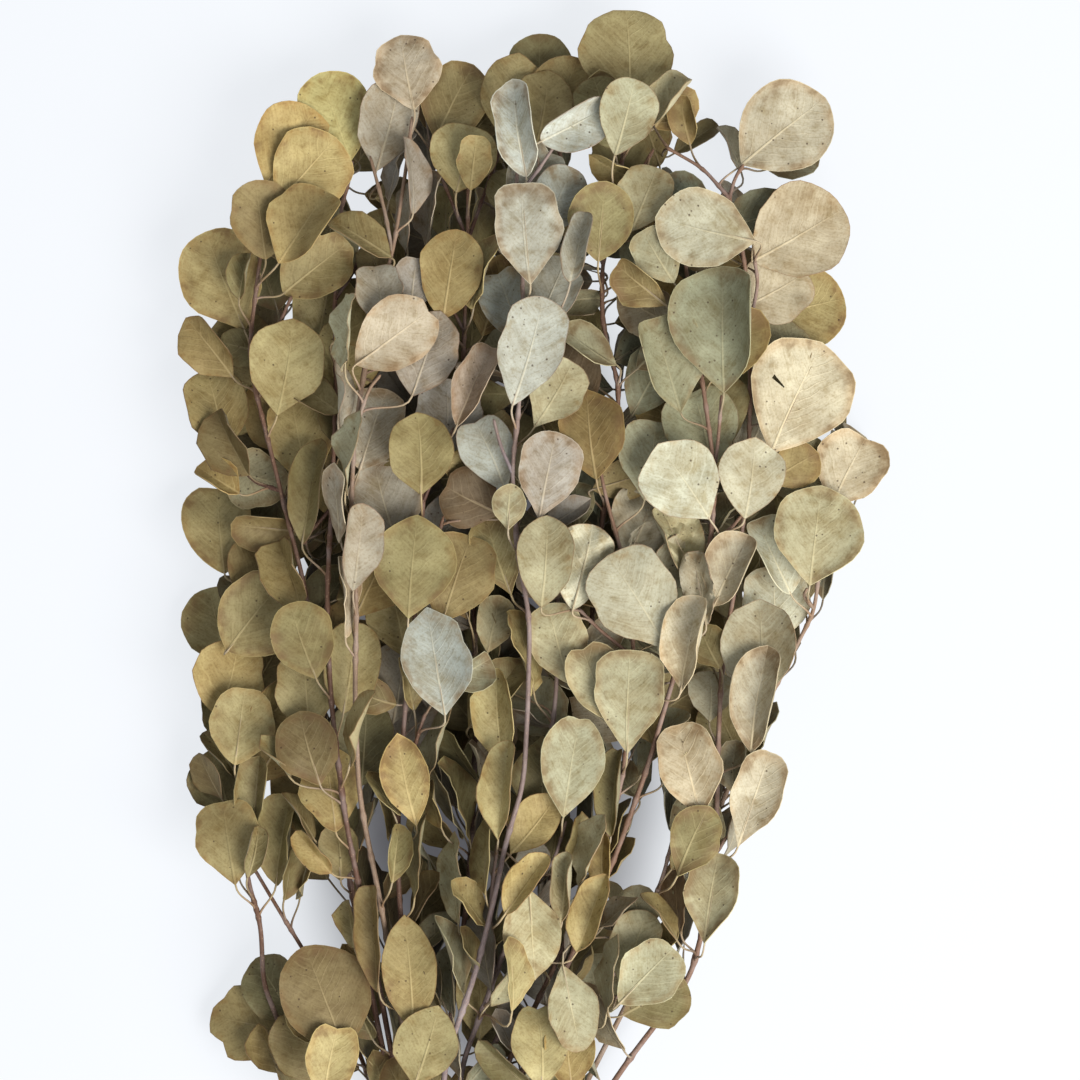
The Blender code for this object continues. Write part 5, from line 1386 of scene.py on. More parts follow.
def bend_leaf(blank, leaf, shift, tone, draw):
    """A copy of a flat leaf, at its size, bent over its midrib and laid in its place."""
    piece = another(blank, "leaf")
    loose = 1.0 if leaf.wave > 0.0 else 0.0
    crumple = loose * draw.uniform(*CRUMPLE)
    ruffle = loose * draw.uniform(*RUFFLE)
    roll = loose * draw.choice(ROLLS)
    twist = loose * draw.uniform(-TWIST, TWIST)
    narrowing = loose * draw.uniform(*NARROWING)
    crease = 0.0
    roll_turn = draw.uniform(0.0, math.tau)
    if leaf.kind == "crumpled":
        crumple, ruffle, crease = CRUMPLED
    tip = draw.choice(TIPS)
    lopsided = draw.uniform(-LOPSIDED, LOPSIDED)
    offset = Vector([draw.uniform(0, NOISE_SPAN) for _ in range(3)])
    places = []
    flat = []
    edges = []
    for point, edge in zip(blank.data.vertices, blank.data.attributes["edge"].data):
        x, y, _ = point.co
        along = min(1.0, max(0.0, (1.0 + y) / 2))
        span = math.sqrt(max(0.000001, 1.0 - y * y))
        side = 1 if x >= 0.0 else -1
        out = x * x + y * y
        uneven = 1.0 + UNEVEN * noise.noise(Vector((x, y, 0.0)) * UNEVEN_SCALE + offset) * out
        reach = min(1.0, abs(x) / span) * leaf.half_width(along) * (uneven + lopsided * side)
        reach *= min(1.0, along / NARROW_REACH + NARROWEST) ** narrowing
        spot = Vector((side * reach, along * leaf.length, 0.0))
        ripple = noise.noise(spot / RIPPLES + offset)
        ripple += SMALL_RIPPLE_SHARE * noise.noise(spot / SMALL_RIPPLES + offset)
        ripple *= crumple * (MIDRIB_RIPPLE + (1.0 - MIDRIB_RIPPLE) * abs(x))
        ripple += ruffle * out * out * noise.noise(spot / RUFFLES - offset)
        facing = (x * math.sin(roll_turn) + y * math.cos(roll_turn)) / max(0.05, math.sqrt(out))
        ripple += roll * out * out * max(0.0, facing) ** ROLL_POWER + twist * side * reach * along
        ripple -= crease * abs(noise.noise(spot / CREASES + offset)) * min(1.0, along / CREASED_FROM)
        drawn = tip * max(0.0, 1.0 - abs(x) / TIP_WIDTH) * max(0.0, y) ** TIP_POWER
        place = leaf.place(along + drawn, side, reach) + leaf.normal * ripple
        places.append((place + shift) * MILLIMETRE)
        flat.append((spot.x / MAP_UNIT + 0.5, spot.y / MAP_UNIT))
        edges.append((edge.value * leaf.width / 2, along, 0.0))
    mesh = piece.data
    mesh.vertices.foreach_set("co", [number for place in places for number in place])
    grain = mesh.uv_layers.new(name="grain")
    grain.data.foreach_set("uv", [number for loop in mesh.loops for number in flat[loop.vertex_index]])
    drop_spare_maps(piece)
    mesh.attributes.remove(mesh.attributes["edge"])
    count = len(mesh.vertices)
    mark(piece, "blade", "FLOAT_VECTOR", edges)
    mark(piece, "tone", "FLOAT_COLOR", [(*linear(tone), 1.0)] * count)
    mark(piece, "chance", "FLOAT", [(draw.random(),)] * count)
    return piece


def bend_rod(blank, path, radii, shift, tones):
    """A copy of a rod, bent along a path with a radius and a tone at each of its rings."""
    piece = another(blank, "rod")
    across = []
    ahead = (path[1] - path[0]).normalized()
    side = ahead.orthogonal().normalized()
    lengths = [0.0]
    for index, place in enumerate(path):
        before = path[max(0, index - 1)]
        after = path[min(len(path) - 1, index + 1)]
        ahead = (after - before).normalized()
        side = (side - ahead * side.dot(ahead)).normalized()
        across.append((side, ahead.cross(side)))
        if index:
            lengths.append(lengths[-1] + (place - before).length)
    places = []
    values = []
    for point in blank.data.vertices:
        ring = min(len(path) - 1, round(point.co.z))
        right, up = across[ring]
        place = path[ring] + (right * point.co.x + up * point.co.y) * radii[ring]
        places.append((place + shift) * MILLIMETRE)
        values.append((*linear(tones[ring]), 1.0))
    mesh = piece.data
    mesh.vertices.foreach_set("co", [number for place in places for number in place])
    for corner in mesh.uv_layers["grain"].data:
        turn, ring = corner.uv
        corner.uv = (turn, lengths[min(len(lengths) - 1, round(ring))] / MAP_UNIT)
    drop_spare_maps(piece)
    mark(piece, "tone", "FLOAT_COLOR", values)
    return piece


def unite(pieces, name):
    """Join pieces into one."""
    bpy.ops.object.select_all(action="DESELECT")
    for piece in pieces:
        piece.select_set(True)
    bpy.context.view_layer.objects.active = pieces[0]
    bpy.ops.object.join()
    pieces[0].name = name
    pieces[0].data.name = name
    return pieces[0]


def rounded_run(points):
    """A run of points with its corners rounded off, at close steps."""
    places = [points[0]]
    for before, corner, after in zip(points, points[1:], points[2:]):
        start = corner.lerp(before, CORNER_SHARE)
        end = corner.lerp(after, CORNER_SHARE)
        for step in range(CORNER_STEPS + 1):
            share = step / CORNER_STEPS
            places.append(start.lerp(corner, share).lerp(corner.lerp(end, share), share))
    places.append(points[-1])
    return places


def even_run(points, count):
    """The same run with a given number of places, at even distances."""
    lengths = [0.0]
    for start, end in zip(points, points[1:]):
        lengths.append(lengths[-1] + (end - start).length)
    places = []
    index = 0
    for step in range(count):
        wanted = lengths[-1] * step / (count - 1)
        while index < len(points) - 2 and lengths[index + 1] < wanted:
            index += 1
        share = (wanted - lengths[index]) / max(0.000001, lengths[index + 1] - lengths[index])
        places.append(points[index].lerp(points[index + 1], min(1.0, share)))
    return places


class Dressed:
    """A branch of the bunch in its finished form: rounded wood, and a blade and stalk per leaf."""

    def __init__(self, branch, plan, blanks, shift):
        self.branch = branch
        self.plan = plan
        self.blanks = blanks
        self.shift = shift
        self.draw = random.Random("dress " + branch.name)
        self.paths = []
        for index, run in enumerate(branch.runs):
            count = STEM_RINGS if index == 0 else TWIG_RINGS
            self.paths.append(even_run(rounded_run(run), count))
        self.seat_twigs()

    def seat_twigs(self):
        """Start each twig inside the stem it grows from."""
        for path in self.paths[1:]:
            root = min(self.paths[0], key=lambda place: (place - path[0]).length)
            gap = root - path[0]
            for index in range(len(path)):
                path[index] = path[index] + gap * max(0.0, 1.0 - index / SEAT_RINGS)

    def wood(self):
        """The stem and the twigs."""
        base = WOOD_TONES[self.plan["wood"]]
        roots = [leaf.root for leaf, _, _ in self.branch.leaves]
        rods = []
        for number, (path, radii) in enumerate(zip(self.paths, self.branch.radii)):
            low, tip = radii[0], radii[-1]
            thick = []
            tones = []
            for index, place in enumerate(path):
                share = index / (len(path) - 1)
                near = min((root - place).length for root in roots)
                swell = NODE_SWELL * math.exp(-((near / NODE_REACH) ** 2))
                thick.append((low + (tip - low) * share) * (1.0 + swell))
                redder = blend(base, WOOD_TONES["stalk_red"], TIP_REDDER * share)
                tones.append(blend(redder, WOOD_TONES["stalk"], TIP_PALER * share))
            thick[-1] *= LAST_RING
            if number == 0:
                tones[0] = WOOD_TONES["cut"]
            blank = self.blanks.stem if number == 0 else self.blanks.twig
            rods.append(bend_rod(blank, path, thick, self.shift, tones))
        return rods

    def stalk(self, leaf, tone, lightness_and_shade):
        """A leaf's stalk, which goes on along the underside of the blade as its midrib."""
        # The stalk is darkened along with its leaf, painted shade included
        dark = tuple(lightness_and_shade * level for level in WOOD_TONES["stalk_red"])
        pale = tuple(lightness_and_shade * level for level in WOOD_TONES["stalk"])
        steps = [index / (STALK_RINGS - 1) for index in range(STALK_RINGS)]
        path = [leaf.stalk(share) for share in steps]
        thick = [STALK_THICK + STALK_FOOT * (1.0 - share) ** 4 for share in steps]
        tinted = blend(pale, tone, STALK_TINT)
        tones = [blend(dark, tinted, min(1.0, STALK_PALE_FROM + share)) for share in steps]
        for index in range(1, MIDRIB_RINGS + 1):
            along = MIDRIB_REACH * index / MIDRIB_RINGS
            path.append(leaf.place(along, 1, 0.0) - leaf.normal * MIDRIB_DEPTH)
            thick.append(MIDRIB_THICK - MIDRIB_TAPER * index / MIDRIB_RINGS)
            tones.append(blend(pale, tone, MIDRIB_TINT))
        return bend_rod(self.blanks.stalk, path, thick, self.shift, tones)

    def reseat(self, leaf):
        """Bring a stalk's root onto the rounded wood."""
        places = [place for path in self.paths for place in path]
        root = min(places, key=lambda place: (place - leaf.root).length)
        leaf.handles = (leaf.handles[0] + root - leaf.root, leaf.handles[1])
        leaf.root = root

    def build(self, finishes):
        """The whole branch as one piece."""
        blades = []
        stalks = []
        for leaf, stations, _ in self.branch.leaves:
            self.reseat(leaf)
            lightness_and_shade = self.draw.uniform(*LEAF_LIGHT)
            warmth = self.draw.uniform(-LEAF_WARMTH, LEAF_WARMTH)
            red, green, blue = LEAF_TONES[leaf.tone]
            middle = leaf.place(0.5, 1, 0.0)
            # Painted shade: leaves deeper in the pile, and those pressed under it, are darkened
            sunk = min(1.0, max(0.0, 1.0 - middle.z / pile_height(middle.x, middle.y)))
            if leaf.wave == 0.0:
                lightness_and_shade *= PRESSED_PAINTED_SHADE
            elif leaf.shown:
                lightness_and_shade *= 1.0 - SHOWN_PAINTED_SHADE * sunk
            else:
                lightness_and_shade *= INNER_LIGHT - INNER_PAINTED_SHADE * sunk
            tone = (red * lightness_and_shade + warmth, green * lightness_and_shade, blue * lightness_and_shade - warmth)
            if leaf.shown:
                kind = leaf.kind or self.draw.choice(KINDS)
            else:
                kind = "inner"
            blades.append(bend_leaf(self.blanks.leaves[kind], leaf, self.shift, tone, self.draw))
            stalks.append(self.stalk(leaf, tone, min(1.0, lightness_and_shade)))
        leaves = unite(blades, self.branch.name)
        count = len(leaves.data.vertices)
        wall = leaves.modifiers.new("thickness", "SOLIDIFY")
        wall.thickness = THICKNESS * MILLIMETRE
        wall.offset = 0.0
        wall.use_rim = True
        choose_only(leaves)
        bpy.ops.object.modifier_apply(modifier=wall.name)
        blade = leaves.data.attributes["blade"].data
        for index in range(count, len(blade)):
            edge, along, _ = blade[index].vector
            blade[index].vector = (edge, along, 1.0)
        bpy.ops.object.shade_smooth_by_angle(angle=math.radians(SHARP_ANGLE))
        give(leaves, finishes["leaf"])
        wood = unite(self.wood() + stalks, self.branch.name + "_wood")
        choose_only(wood)
        bpy.ops.object.shade_smooth()
        give(wood, finishes["wood"])
        return unite([leaves, wood], self.branch.name)


# The twine

# Its radius (mm), how often it goes round the stems, and the rings and sides of it and its knot
TWINE_RADIUS = 0.82
TWINE_TURNS = 6
TWINE_RINGS = 330
KNOT_RINGS = 90
TWINE_SIDES = 9
# How far its middle lies outside the stems' outline (mm), and how many steps there are in a turn
# and in each corner of that outline
TWINE_OUT = 0.9
TURN_STEPS = 60
OUTLINE_STEPS = 5
# The knot goes round twice while it swings in and out and up and down three times: how far out
# it is and swings, how it is stretched across and along the stems, and how high it is above
# them and swings (mm)
KNOT_ROUNDS = 2.0
KNOT_SWINGS = 1.5
KNOT_OUT, KNOT_SWING = 1.35, 0.6
KNOT_ACROSS, KNOT_ALONG = 1.5, 1.15
KNOT_UP, KNOT_RISE = 1.75, 0.75
# Each short end of the twine, from the knot: its places to the side, along and up (mm), and its
# thickness beside the rest
TWINE_END = ((0.0, 0.6, 2.4), (3.0, 1.4, 2.2), (5.5, 2.6, 1.25), (9.0, 3.6, 0.86))
TWINE_END_SHARE = 0.9


def rounded_outline(half_width, half_height, corner):
    """A rectangle with round corners, as (x, z) places about its middle, anticlockwise from +X."""
    places = []
    for quarter, (sign_x, sign_z) in enumerate(((1, 1), (-1, 1), (-1, -1), (1, -1))):
        for step in range(OUTLINE_STEPS + 1):
            turn = math.pi / 2 * (quarter + step / OUTLINE_STEPS)
            x = sign_x * (half_width - corner) + corner * math.cos(turn)
            z = sign_z * (half_height - corner) + corner * math.sin(turn)
            places.append((x, z))
    return places


def twine_run():
    """The way of the twine round the stems, turn beside turn."""
    corner = STEM_RADIUS_LOW + TIE_GAP
    half_height = (STEM_ROWS - 1) / 2 * STEM_ROW_PITCH + corner
    half_width = ((STEMS_IN_A_ROW - 1) / 2 + ROW_SHIFT) * STEM_PITCH + corner
    middle = TIE_WALL + half_height
    outline = rounded_outline(half_width + TWINE_OUT, half_height + TWINE_OUT, corner + TWINE_OUT)
    loop = even_run([Vector((x, 0.0, z)) for x, z in outline + outline[:1]], TURN_STEPS + 1)[:-1]
    pitch = (TIE_LENGTH - 2 * TWINE_RADIUS) / TWINE_TURNS
    places = []
    for index in range(TWINE_TURNS * len(loop) + 1):
        place = loop[index % len(loop)]
        y = TIE_Y - TIE_LENGTH / 2 + TWINE_RADIUS + pitch * index / len(loop)
        places.append(Vector((TIE_X + place.x, y, middle + place.z)))
    return even_run(places, TWINE_RINGS), middle


def build_tie(finish, shift):
    """The twine: its turns round the stems, and the knot with its two short ends on top."""
    path, middle = twine_run()
    tone = WOOD_TONES["twine"]
    turns = straight_rod("twine", TWINE_SIDES, TWINE_RINGS)
    knot = straight_rod("twine_knot", TWINE_SIDES, KNOT_RINGS)
    top = 2 * middle
    pieces = [bend_rod(turns, path, [TWINE_RADIUS] * TWINE_RINGS, shift, [tone] * TWINE_RINGS)]
    loops = []
    for index in range(KNOT_RINGS):
        turn = math.tau * index / KNOT_RINGS * KNOT_ROUNDS
        out = KNOT_OUT + KNOT_SWING * math.cos(KNOT_SWINGS * turn)
        loops.append(Vector((
            TIE_X + KNOT_ACROSS * out * math.cos(turn),
            TIE_Y + KNOT_ALONG * out * math.sin(turn),
            top + KNOT_UP + KNOT_RISE * math.sin(KNOT_SWINGS * turn),
        )))
    loops[-1] = loops[0]
    pieces.append(bend_rod(knot, loops, [TWINE_RADIUS] * KNOT_RINGS, shift, [tone] * KNOT_RINGS))
    for side in (-1, 1):
        end = [Vector((TIE_X + side * x, TIE_Y + side * y, top + z)) for x, y, z in TWINE_END]
        run = even_run(rounded_run(end), KNOT_RINGS)
        thick = [TWINE_RADIUS * TWINE_END_SHARE] * KNOT_RINGS
        pieces.append(bend_rod(knot, run, thick, shift, [tone] * KNOT_RINGS))
    tie = unite(pieces, "twine_tie")
    choose_only(tie)
    bpy.ops.object.shade_smooth()
    give(tie, finish)
    for blank in (turns, knot):
        bpy.data.objects.remove(blank)
    return tie


# Finishes

# What a tone is multiplied by, where a leaf, the bark or the twine is marked, and in the twine's
# grooves as painted shade
SHADES = {
    "blotch": (0.80, 0.72, 0.56), "bloom": (1.15, 1.17, 1.19), "mottle": (0.80, 0.74, 0.60),
    "grit": (0.86, 0.83, 0.78), "dusk": (0.83, 0.81, 0.74), "browned": (0.98, 0.85, 0.70),
    "vein": (1.26, 1.24, 1.2), "dark_rim": (0.80, 0.64, 0.56), "pale_rim": (1.22, 1.20, 1.16),
    "bark_streak": (0.66, 0.56, 0.52), "twine_groove_painted_shade": (0.6, 0.5, 0.4),
}
# Colours that lie over a tone, as seen in daylight
COLOURS = {
    "patch": (0.40, 0.31, 0.21), "underside": (0.70, 0.69, 0.60), "vein": (0.86, 0.80, 0.64),
    "speck": (0.24, 0.17, 0.11), "bark_bloom": (0.70, 0.66, 0.65), "wart": (0.72, 0.60, 0.48),
    "fibre": (0.86, 0.76, 0.58),
}
# How fine the finishes' patterns are, as cells in a metre
SCALES = {
    "wander": 90.0, "cloud": 45.0, "mottle": 160.0, "fine": 900.0, "speck": 240.0,
    "bark_bloom": 75.0, "wart": 620.0, "fibre": 2600.0,
}
# How far the surface of a blade, of the bark and of the twine is raised (metres)
BLADE_RELIEF = 0.0018
BARK_RELIEF = 0.0003
TWINE_RELIEF = 0.0005
# How many strands the twine has, and how far one of them takes to go round (mm)
TWINE_STRANDS = 3.0
TWINE_LAY = 1.9


class Level:
    """A value inside a finish; arithmetic on it adds the nodes that work it out."""

    def __init__(self, finish, socket):
        self.finish = finish
        self.socket = socket

    def math(self, operation, first, second):
        """One step of arithmetic."""
        return self.finish.node("ShaderNodeMath", {"operation": operation}, {0: first, 1: second})

    def __add__(self, other):
        return self.math("ADD", self, other)

    def __radd__(self, other):
        return self.math("ADD", other, self)

    def __sub__(self, other):
        return self.math("SUBTRACT", self, other)

    def __rsub__(self, other):
        return self.math("SUBTRACT", other, self)

    def __mul__(self, other):
        return self.math("MULTIPLY", self, other)

    def __rmul__(self, other):
        return self.math("MULTIPLY", other, self)

    def __truediv__(self, other):
        return self.math("DIVIDE", self, other)

    def __abs__(self):
        return self.finish.node("ShaderNodeMath", {"operation": "ABSOLUTE"}, {0: self})

    def other(self, name):
        """Another output of the node that this value comes from."""
        return Level(self.finish, self.socket.node.outputs[name])

    def between(self, low, high):
        """How far the value is from low to high, as a smooth step from 0 to 1."""
        settings = {"interpolation_type": "SMOOTHSTEP"}
        values = {0: self, 1: low, 2: high, 3: 0.0, 4: 1.0}
        return self.finish.node("ShaderNodeMapRange", settings, values)

    def at_most(self, other):
        return self.math("MINIMUM", self, other)

    def at_least(self, other):
        return self.math("MAXIMUM", self, other)

    def wave(self, step):
        """Up from 0 to a step and down again, over and over."""
        return self.math("PINGPONG", self, step)


class Finish:
    """A material under way: its nodes, and the shader that they lead to."""

    def __init__(self, name, roughness, specular):
        self.material = bpy.data.materials.new(name)
        self.material.use_nodes = True
        self.tree = self.material.node_tree
        self.shader = self.tree.nodes["Principled BSDF"]
        self.shader.inputs["Roughness"].default_value = roughness
        self.shader.inputs["Specular IOR Level"].default_value = specular

    def node(self, kind, settings=None, values=None, output=0):
        """Add a node with its settings and the values or links of its sockets."""
        made = self.tree.nodes.new(kind)
        for name, value in (settings or {}).items():
            setattr(made, name, value)
        for name, value in (values or {}).items():
            if isinstance(value, Level):
                self.tree.links.new(value.socket, made.inputs[name])
            else:
                made.inputs[name].default_value = value
        return Level(self, made.outputs[output])

    def attribute(self, name, output):
        """A value that the piece's points carry."""
        return self.node("ShaderNodeAttribute", {"attribute_name": name}, {}, output)

    def own_map(self):
        """A place on the piece's own map."""
        return self.node("ShaderNodeUVMap", {"uv_map": "grain"})

    def place(self):
        """A place in the piece's own frame, in metres."""
        return self.node("ShaderNodeTexCoord", {}, {}, "Object")

    def noise(self, place, scale, detail, distortion=0.0):
        """Soft noise from 0 to 1."""
        values = {"Vector": place, "Scale": scale, "Detail": detail, "Distortion": distortion}
        return self.node("ShaderNodeTexNoise", {}, values, "Fac")

    def cells(self, place, scale):
        """Distance to the middle of the cell that a place is in."""
        values = {"Vector": place, "Scale": scale}
        return self.node("ShaderNodeTexVoronoi", {}, values, "Distance")

    def mix(self, share, first, second, way="MIX"):
        """A colour between two others, by a share."""
        settings = {"data_type": "RGBA", "blend_type": way}
        colours = [(*linear(c), 1.0) if isinstance(c, tuple) else c for c in (first, second)]
        return self.node("ShaderNodeMix", settings, {0: share, 6: colours[0], 7: colours[1]}, 2)

    def shaded(self, tone, name):
        """A tone as it is in one of the shades."""
        return self.mix(1.0, tone, SHADES[name], "MULTIPLY")

    def lead(self, name, value):
        """Lead a value to one of the shader's sockets."""
        self.tree.links.new(value.socket, self.shader.inputs[name])

    def relief(self, height, strength, depth):
        """Raise the surface by a height from 0 to 1, times a depth in metres."""
        values = {"Strength": strength, "Distance": depth, "Height": height}
        bump = self.node("ShaderNodeBump", {}, values)
        self.lead("Normal", bump)


def leaf_finish():
    """A dried leaf: midrib, side veins, a vein along its rim, blotches, bloom and specks."""
    leaf = Finish("dried_leaf", 0.62, 0.3)
    tone = leaf.attribute("tone", "Color")
    chance = leaf.attribute("chance", "Fac")
    blade = leaf.node("ShaderNodeSeparateXYZ", {}, {0: leaf.attribute("blade", "Vector")}, 0)
    edge, along, under = blade, blade.other("Y"), blade.other("Z")
    # Where a point lies: its distance from the midrib and from the base, in millimetres
    place = leaf.place()
    flat = leaf.node("ShaderNodeSeparateXYZ", {}, {0: leaf.own_map()}, 0)
    across = flat * MAP_UNIT - MAP_UNIT / 2 + (chance - 0.5) * along * (1.0 - along) * 9.0
    up = flat.other("Y") * MAP_UNIT
    wander = leaf.noise(place, SCALES["wander"], 2.0)
    out = abs(across + (wander - 0.5) * 0.7 * along)

    # Veins: the midrib, the side veins that rise from it and one along the rim
    midrib = (1.0 - out.between(0.2, 1.0 - 0.72 * along)) * (1.0 - along.between(0.35, 1.0) * 0.85)
    right = across.between(-0.2, 0.2)
    pitch = 4.2 + 2.0 * chance
    rise = up - out * (0.72 + 0.3 * chance) - out * out * 0.012 + (wander - 0.5) * 6.0 + right * 2.1
    side_vein = 1.0 - (rise / pitch).wave(0.5).between(0.015, 0.085)
    side_vein = side_vein * (1.0 - out.between(5.0, 17.0) * 0.8) * edge.between(0.8, 2.4)
    rim_vein = (1.0 - abs(edge - 1.5 - (wander - 0.5) * 0.8).between(0.08, 0.34)) * 0.6
    shows = (chance * 7.0).wave(0.5) * 2.0
    veins = midrib.at_least(side_vein * (0.14 + 0.22 * shows)).at_least(rim_vein * 0.2)

    # Blotches, bloom, grit and streaks that run with the side veins
    cloud = leaf.noise(place, SCALES["cloud"], 3.0, 0.4)
    mottle = leaf.noise(place, SCALES["mottle"], 3.0)
    fine = leaf.noise(place, SCALES["fine"], 2.0)
    with_veins = leaf.node("ShaderNodeCombineXYZ", {}, {0: rise / 1.5, 1: out / 13.0, 2: chance * 40.0})
    streak = leaf.noise(with_veins, 1.0, 3.0)
    colour = leaf.mix(cloud.between(0.42, 0.72) * 0.46, tone, leaf.shaded(tone, "blotch"))
    bloom = leaf.shaded(tone, "bloom")
    colour = leaf.mix((1.0 - cloud).between(0.5, 0.75) * 0.64, colour, bloom)
    colour = leaf.mix(mottle.between(0.5, 0.77) * 0.62, colour, leaf.shaded(tone, "mottle"))
    colour = leaf.mix((1.0 - mottle).between(0.52, 0.74) * 0.4, colour, bloom)
    colour = leaf.mix(fine.between(0.44, 0.7) * 0.6, colour, leaf.shaded(colour, "grit"))
    dusky = leaf.shaded(colour, "dusk")
    colour = leaf.mix(streak.between(0.48, 0.74) * (0.12 + 0.5 * mottle), colour, dusky)
    colour = leaf.mix((1.0 - streak).between(0.5, 0.74) * 0.28, colour, bloom)

    # Browned rims, dead patches, the paler underside, the veins over all that, and the cut rim
    browned = (1.0 - edge.between(0.5, 5.5)) * (mottle + chance * 0.4).between(0.55, 0.85)
    colour = leaf.mix(browned * 0.45, colour, leaf.shaded(tone, "browned"))
    patch = (mottle + cloud + chance * 0.35).between(1.22, 1.5) * (1.0 - edge.between(1.0, 9.0))
    colour = leaf.mix(patch * 0.55, colour, COLOURS["patch"])
    colour = leaf.mix(under * 0.3, colour, COLOURS["underside"])
    pale = leaf.mix(0.3, leaf.shaded(tone, "vein"), COLOURS["vein"])
    colour = leaf.mix(veins * (0.1 + 0.36 * shows + 0.16 * wander), colour, pale)
    rim = 1.0 - edge.between(0.05, 0.4)
    dark_rim = leaf.shaded(tone, "dark_rim")
    pale_rim = leaf.shaded(tone, "pale_rim")
    colour = leaf.mix(rim * 0.6, colour, leaf.mix(chance.between(0.35, 0.65), dark_rim, pale_rim))

    # Specks: small ones scattered, and more of them on the leaves that chance freckles
    speck = leaf.cells(place, SCALES["speck"])
    lucky = leaf.node("ShaderNodeSeparateXYZ", {}, {0: speck.other("Color")}, 0)
    freckled = (chance * 11.0).wave(0.5)
    size = ((lucky - 0.88 + freckled).at_least(0.0) * 1.1).at_most(0.12)
    specks = (1.0 - (speck - size).between(-0.02, 0.03)) * size.between(0.0, 0.01)
    colour = leaf.mix(specks * 0.75, colour, COLOURS["speck"])
    leaf.lead("Base Color", colour)

    leaf.lead("Roughness", 0.56 + cloud * 0.18 - veins * 0.05 + specks * 0.1)
    height = 0.5 + veins * (0.5 - under) * 0.5 + mottle * 0.35 + cloud * 0.6
    leaf.relief(height, 0.6, BLADE_RELIEF)
    return leaf.material


def wood_finish():
    """Stems and stalks: long streaks, pale bloom and small warts."""
    wood = Finish("stem_bark", 0.6, 0.3)
    tone = wood.attribute("tone", "Color")
    place = wood.place()
    long_grain = wood.node("ShaderNodeMapping", {}, {0: wood.own_map(), 3: (9.0, 22.0, 1.0)})
    streak = wood.noise(long_grain, 1.4, 3.0)
    bloom = wood.noise(place, SCALES["bark_bloom"], 3.0)
    warts = wood.cells(place, SCALES["wart"])
    wart = 1.0 - warts.between(0.12, 0.3)
    colour = wood.mix(streak.between(0.4, 0.75) * 0.5, tone, wood.shaded(tone, "bark_streak"))
    colour = wood.mix(bloom.between(0.45, 0.7) * 0.22, colour, COLOURS["bark_bloom"])
    colour = wood.mix(wart * 0.3, colour, COLOURS["wart"])
    wood.lead("Base Color", colour)
    wood.lead("Roughness", 0.5 + bloom * 0.25)
    wood.relief(streak * 0.6 + wart * 0.4, 0.5, BARK_RELIEF)
    return wood.material


def twine_finish():
    """Jute twine: three strands laid round each other, with painted shade in the grooves between them,
    and loose fibres.
    """
    twine = Finish("jute_twine", 0.85, 0.2)
    tone = twine.attribute("tone", "Color")
    place = twine.place()
    grain = twine.node("ShaderNodeSeparateXYZ", {}, {0: twine.own_map()}, 0)
    lay = (grain * TWINE_STRANDS + grain.other("Y") * MAP_UNIT / TWINE_LAY).wave(0.5) * 2.0
    fibre = twine.noise(place, SCALES["fibre"], 2.0, 1.0)
    # Painted shade in the grooves between the strands
    colour = twine.mix(lay.between(0.0, 0.5), twine.shaded(tone, "twine_groove_painted_shade"), tone)
    colour = twine.mix(fibre.between(0.4, 0.7) * 0.4, colour, COLOURS["fibre"])
    twine.lead("Base Color", colour)
    twine.lead("Roughness", 0.75 + fibre * 0.2)
    twine.relief(lay.between(0.0, 0.7) + fibre * 0.3, 0.9, TWINE_RELIEF)
    return twine.material


# Table, light and camera

# Where the table's painted glow is dimmed to painted shade under the thick of the bunch: its
# middle in the plan (mm), how far it reaches across and up (metres), and how far in and out it
# fades
SHADE_MIDDLE = (-25.0, 190.0)
SHADE_REACH = (0.085, 0.200)
SHADE_EDGE = (0.35, 1.7)
# The table: its width and how far its top lies under the bunch (metres), how fine the clouds of
# its two whites are, and its painted light: the colours it glows in, though it is no lamp, in the
# painted shade and away from it, and how strongly
TABLE_WIDTH = 8.0
TABLE_DROP = 0.0005
TABLE_CLOUDS = 3.0
TABLE_WHITES = ((0.37, 0.38, 0.39), (0.39, 0.39, 0.40))
TABLE_PAINTED_GLOWS = ((0.35, 0.35, 0.37), (0.968, 0.982, 1.0))
TABLE_PAINTED_GLOW = 0.81
# The room's light, and the window: where it is from the bunch and its width (metres), its power
# (watts) and its colour
SKY_COLOUR = (0.93, 0.96, 1.0, 1.0)
SKY_STRENGTH = 0.57
WINDOW_PLACE = (1.15, -0.95, 1.75)
WINDOW_WIDTH = 1.6
WINDOW_POWER = 87.0
WINDOW_COLOUR = (1.0, 0.975, 0.94)
# The picture's middle in the plan, its width, how high the camera stands and the height at which
# the width holds (metres), the camera's sensor (mm) and how far it sees (metres)
PICTURE_MIDDLE = (5.0, 270.0)
VIEW_WIDTH = 0.540
CAMERA_HEIGHT = 2.5
FOCUS_HEIGHT = 0.045
SENSOR_WIDTH = 36.0
SIGHT = 20.0


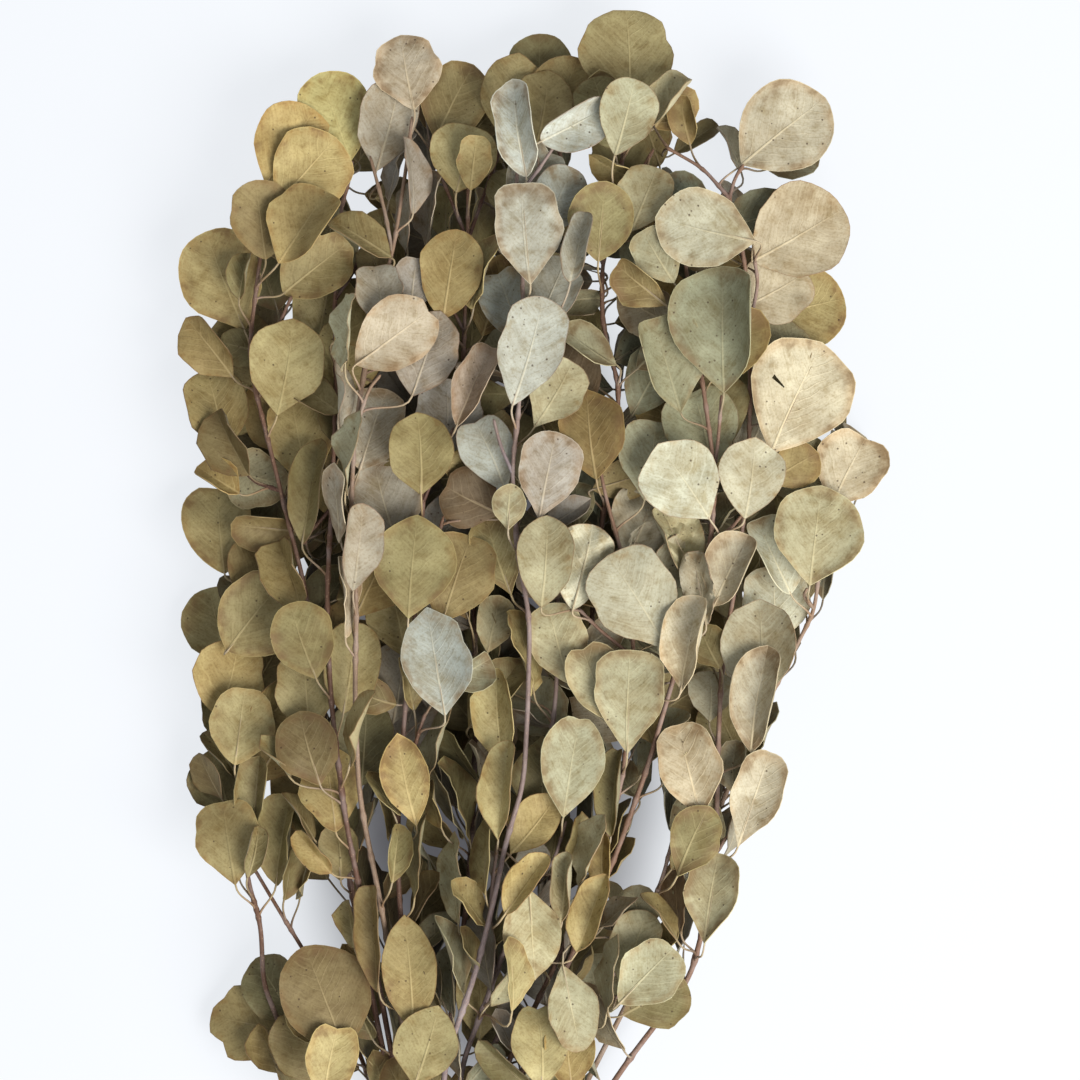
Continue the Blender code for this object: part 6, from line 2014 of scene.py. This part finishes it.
def lay_table(shift):
    """The white table that the bunch lies on, with a painted glow dimmed to painted shade under the
    thick of the bunch.
    """
    middle = Vector((SHADE_MIDDLE[0] + shift.x, SHADE_MIDDLE[1] + shift.y, 0.0)) * MILLIMETRE
    bpy.ops.object.select_all(action="DESELECT")
    bpy.ops.mesh.primitive_plane_add(size=TABLE_WIDTH, location=(0.0, 0.0, -TABLE_DROP))
    table = bpy.context.object
    table.name = "table"
    white = Finish("white_table", 0.7, 0.2)
    place = white.place()
    cloud = white.noise(place, TABLE_CLOUDS, 2.0)
    white.lead("Base Color", white.mix(cloud, *TABLE_WHITES))
    # Painted light: the table glows, and glows less in a painted shade under the thick of the bunch
    axes = white.node("ShaderNodeSeparateXYZ", {}, {0: place}, 0)
    across = (axes - middle.x) / SHADE_REACH[0]
    up = (axes.other("Y") - middle.y) / SHADE_REACH[1]
    far = (across * across + up * up).between(*SHADE_EDGE)
    white.lead("Emission Color", white.mix(far, *TABLE_PAINTED_GLOWS))
    white.shader.inputs["Emission Strength"].default_value = TABLE_PAINTED_GLOW
    table.data.materials.append(white.material)


def light_and_camera(centre):
    """Soft daylight from the lower right of the picture, and the camera straight above."""
    world = bpy.data.worlds.new("soft_room")
    world.use_nodes = True
    sky = world.node_tree.nodes["Background"]
    sky.inputs["Color"].default_value = SKY_COLOUR
    sky.inputs["Strength"].default_value = SKY_STRENGTH
    bpy.context.scene.world = world
    place = centre + Vector(WINDOW_PLACE)
    lamp = bpy.data.lights.new("window", "AREA")
    lamp.shape = "SQUARE"
    lamp.size = WINDOW_WIDTH
    lamp.energy = WINDOW_POWER
    lamp.color = WINDOW_COLOUR
    window = bpy.data.objects.new("window", lamp)
    window.location = place
    window.rotation_euler = (place - centre).to_track_quat("Z", "Y").to_euler()
    bpy.context.scene.collection.objects.link(window)
    camera = bpy.data.objects.new("camera", bpy.data.cameras.new("camera"))
    camera.location = centre + Vector((0.0, 0.0, CAMERA_HEIGHT))
    camera.data.sensor_width = SENSOR_WIDTH
    camera.data.lens = SENSOR_WIDTH * (CAMERA_HEIGHT - FOCUS_HEIGHT) / VIEW_WIDTH
    camera.data.clip_end = SIGHT
    bpy.context.scene.collection.objects.link(camera)
    bpy.context.scene.camera = camera
    bpy.context.scene.view_settings.view_transform = "Standard"


def keep_in_box(piece):
    """Keep the finer forms inside the frame's box."""
    low, high = cad_box
    for vertex in piece.data.vertices:
        vertex.co = [min(high[axis], max(low[axis], vertex.co[axis])) for axis in range(3)]


def main():
    """Lay the bunch out, model its branches and its tie, and set up the picture."""
    bunch = Bunch()
    bunch.grow()
    low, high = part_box("tie")
    shift = Vector((
        (low.x + high.x) / 2 / MILLIMETRE - TIE_X,
        (low.y + high.y) / 2 / MILLIMETRE - TIE_Y,
        0.0,
    ))
    finishes = {"leaf": leaf_finish(), "wood": wood_finish()}
    blanks = Blanks()
    for name, branch in bunch.branches.items():
        piece = Dressed(branch, BRANCHES[name], blanks, shift).build(finishes)
        piece.name = "sprig_" + name
        keep_in_box(piece)
        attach(piece, "root")
        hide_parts(name)
    blanks.clear()
    tie = build_tie(twine_finish(), shift)
    keep_in_box(tie)
    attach(tie, "root")
    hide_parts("tie")
    lay_table(shift)
    centre = Vector((PICTURE_MIDDLE[0] + shift.x, PICTURE_MIDDLE[1] + shift.y, 0.0)) * MILLIMETRE
    light_and_camera(centre)


main()
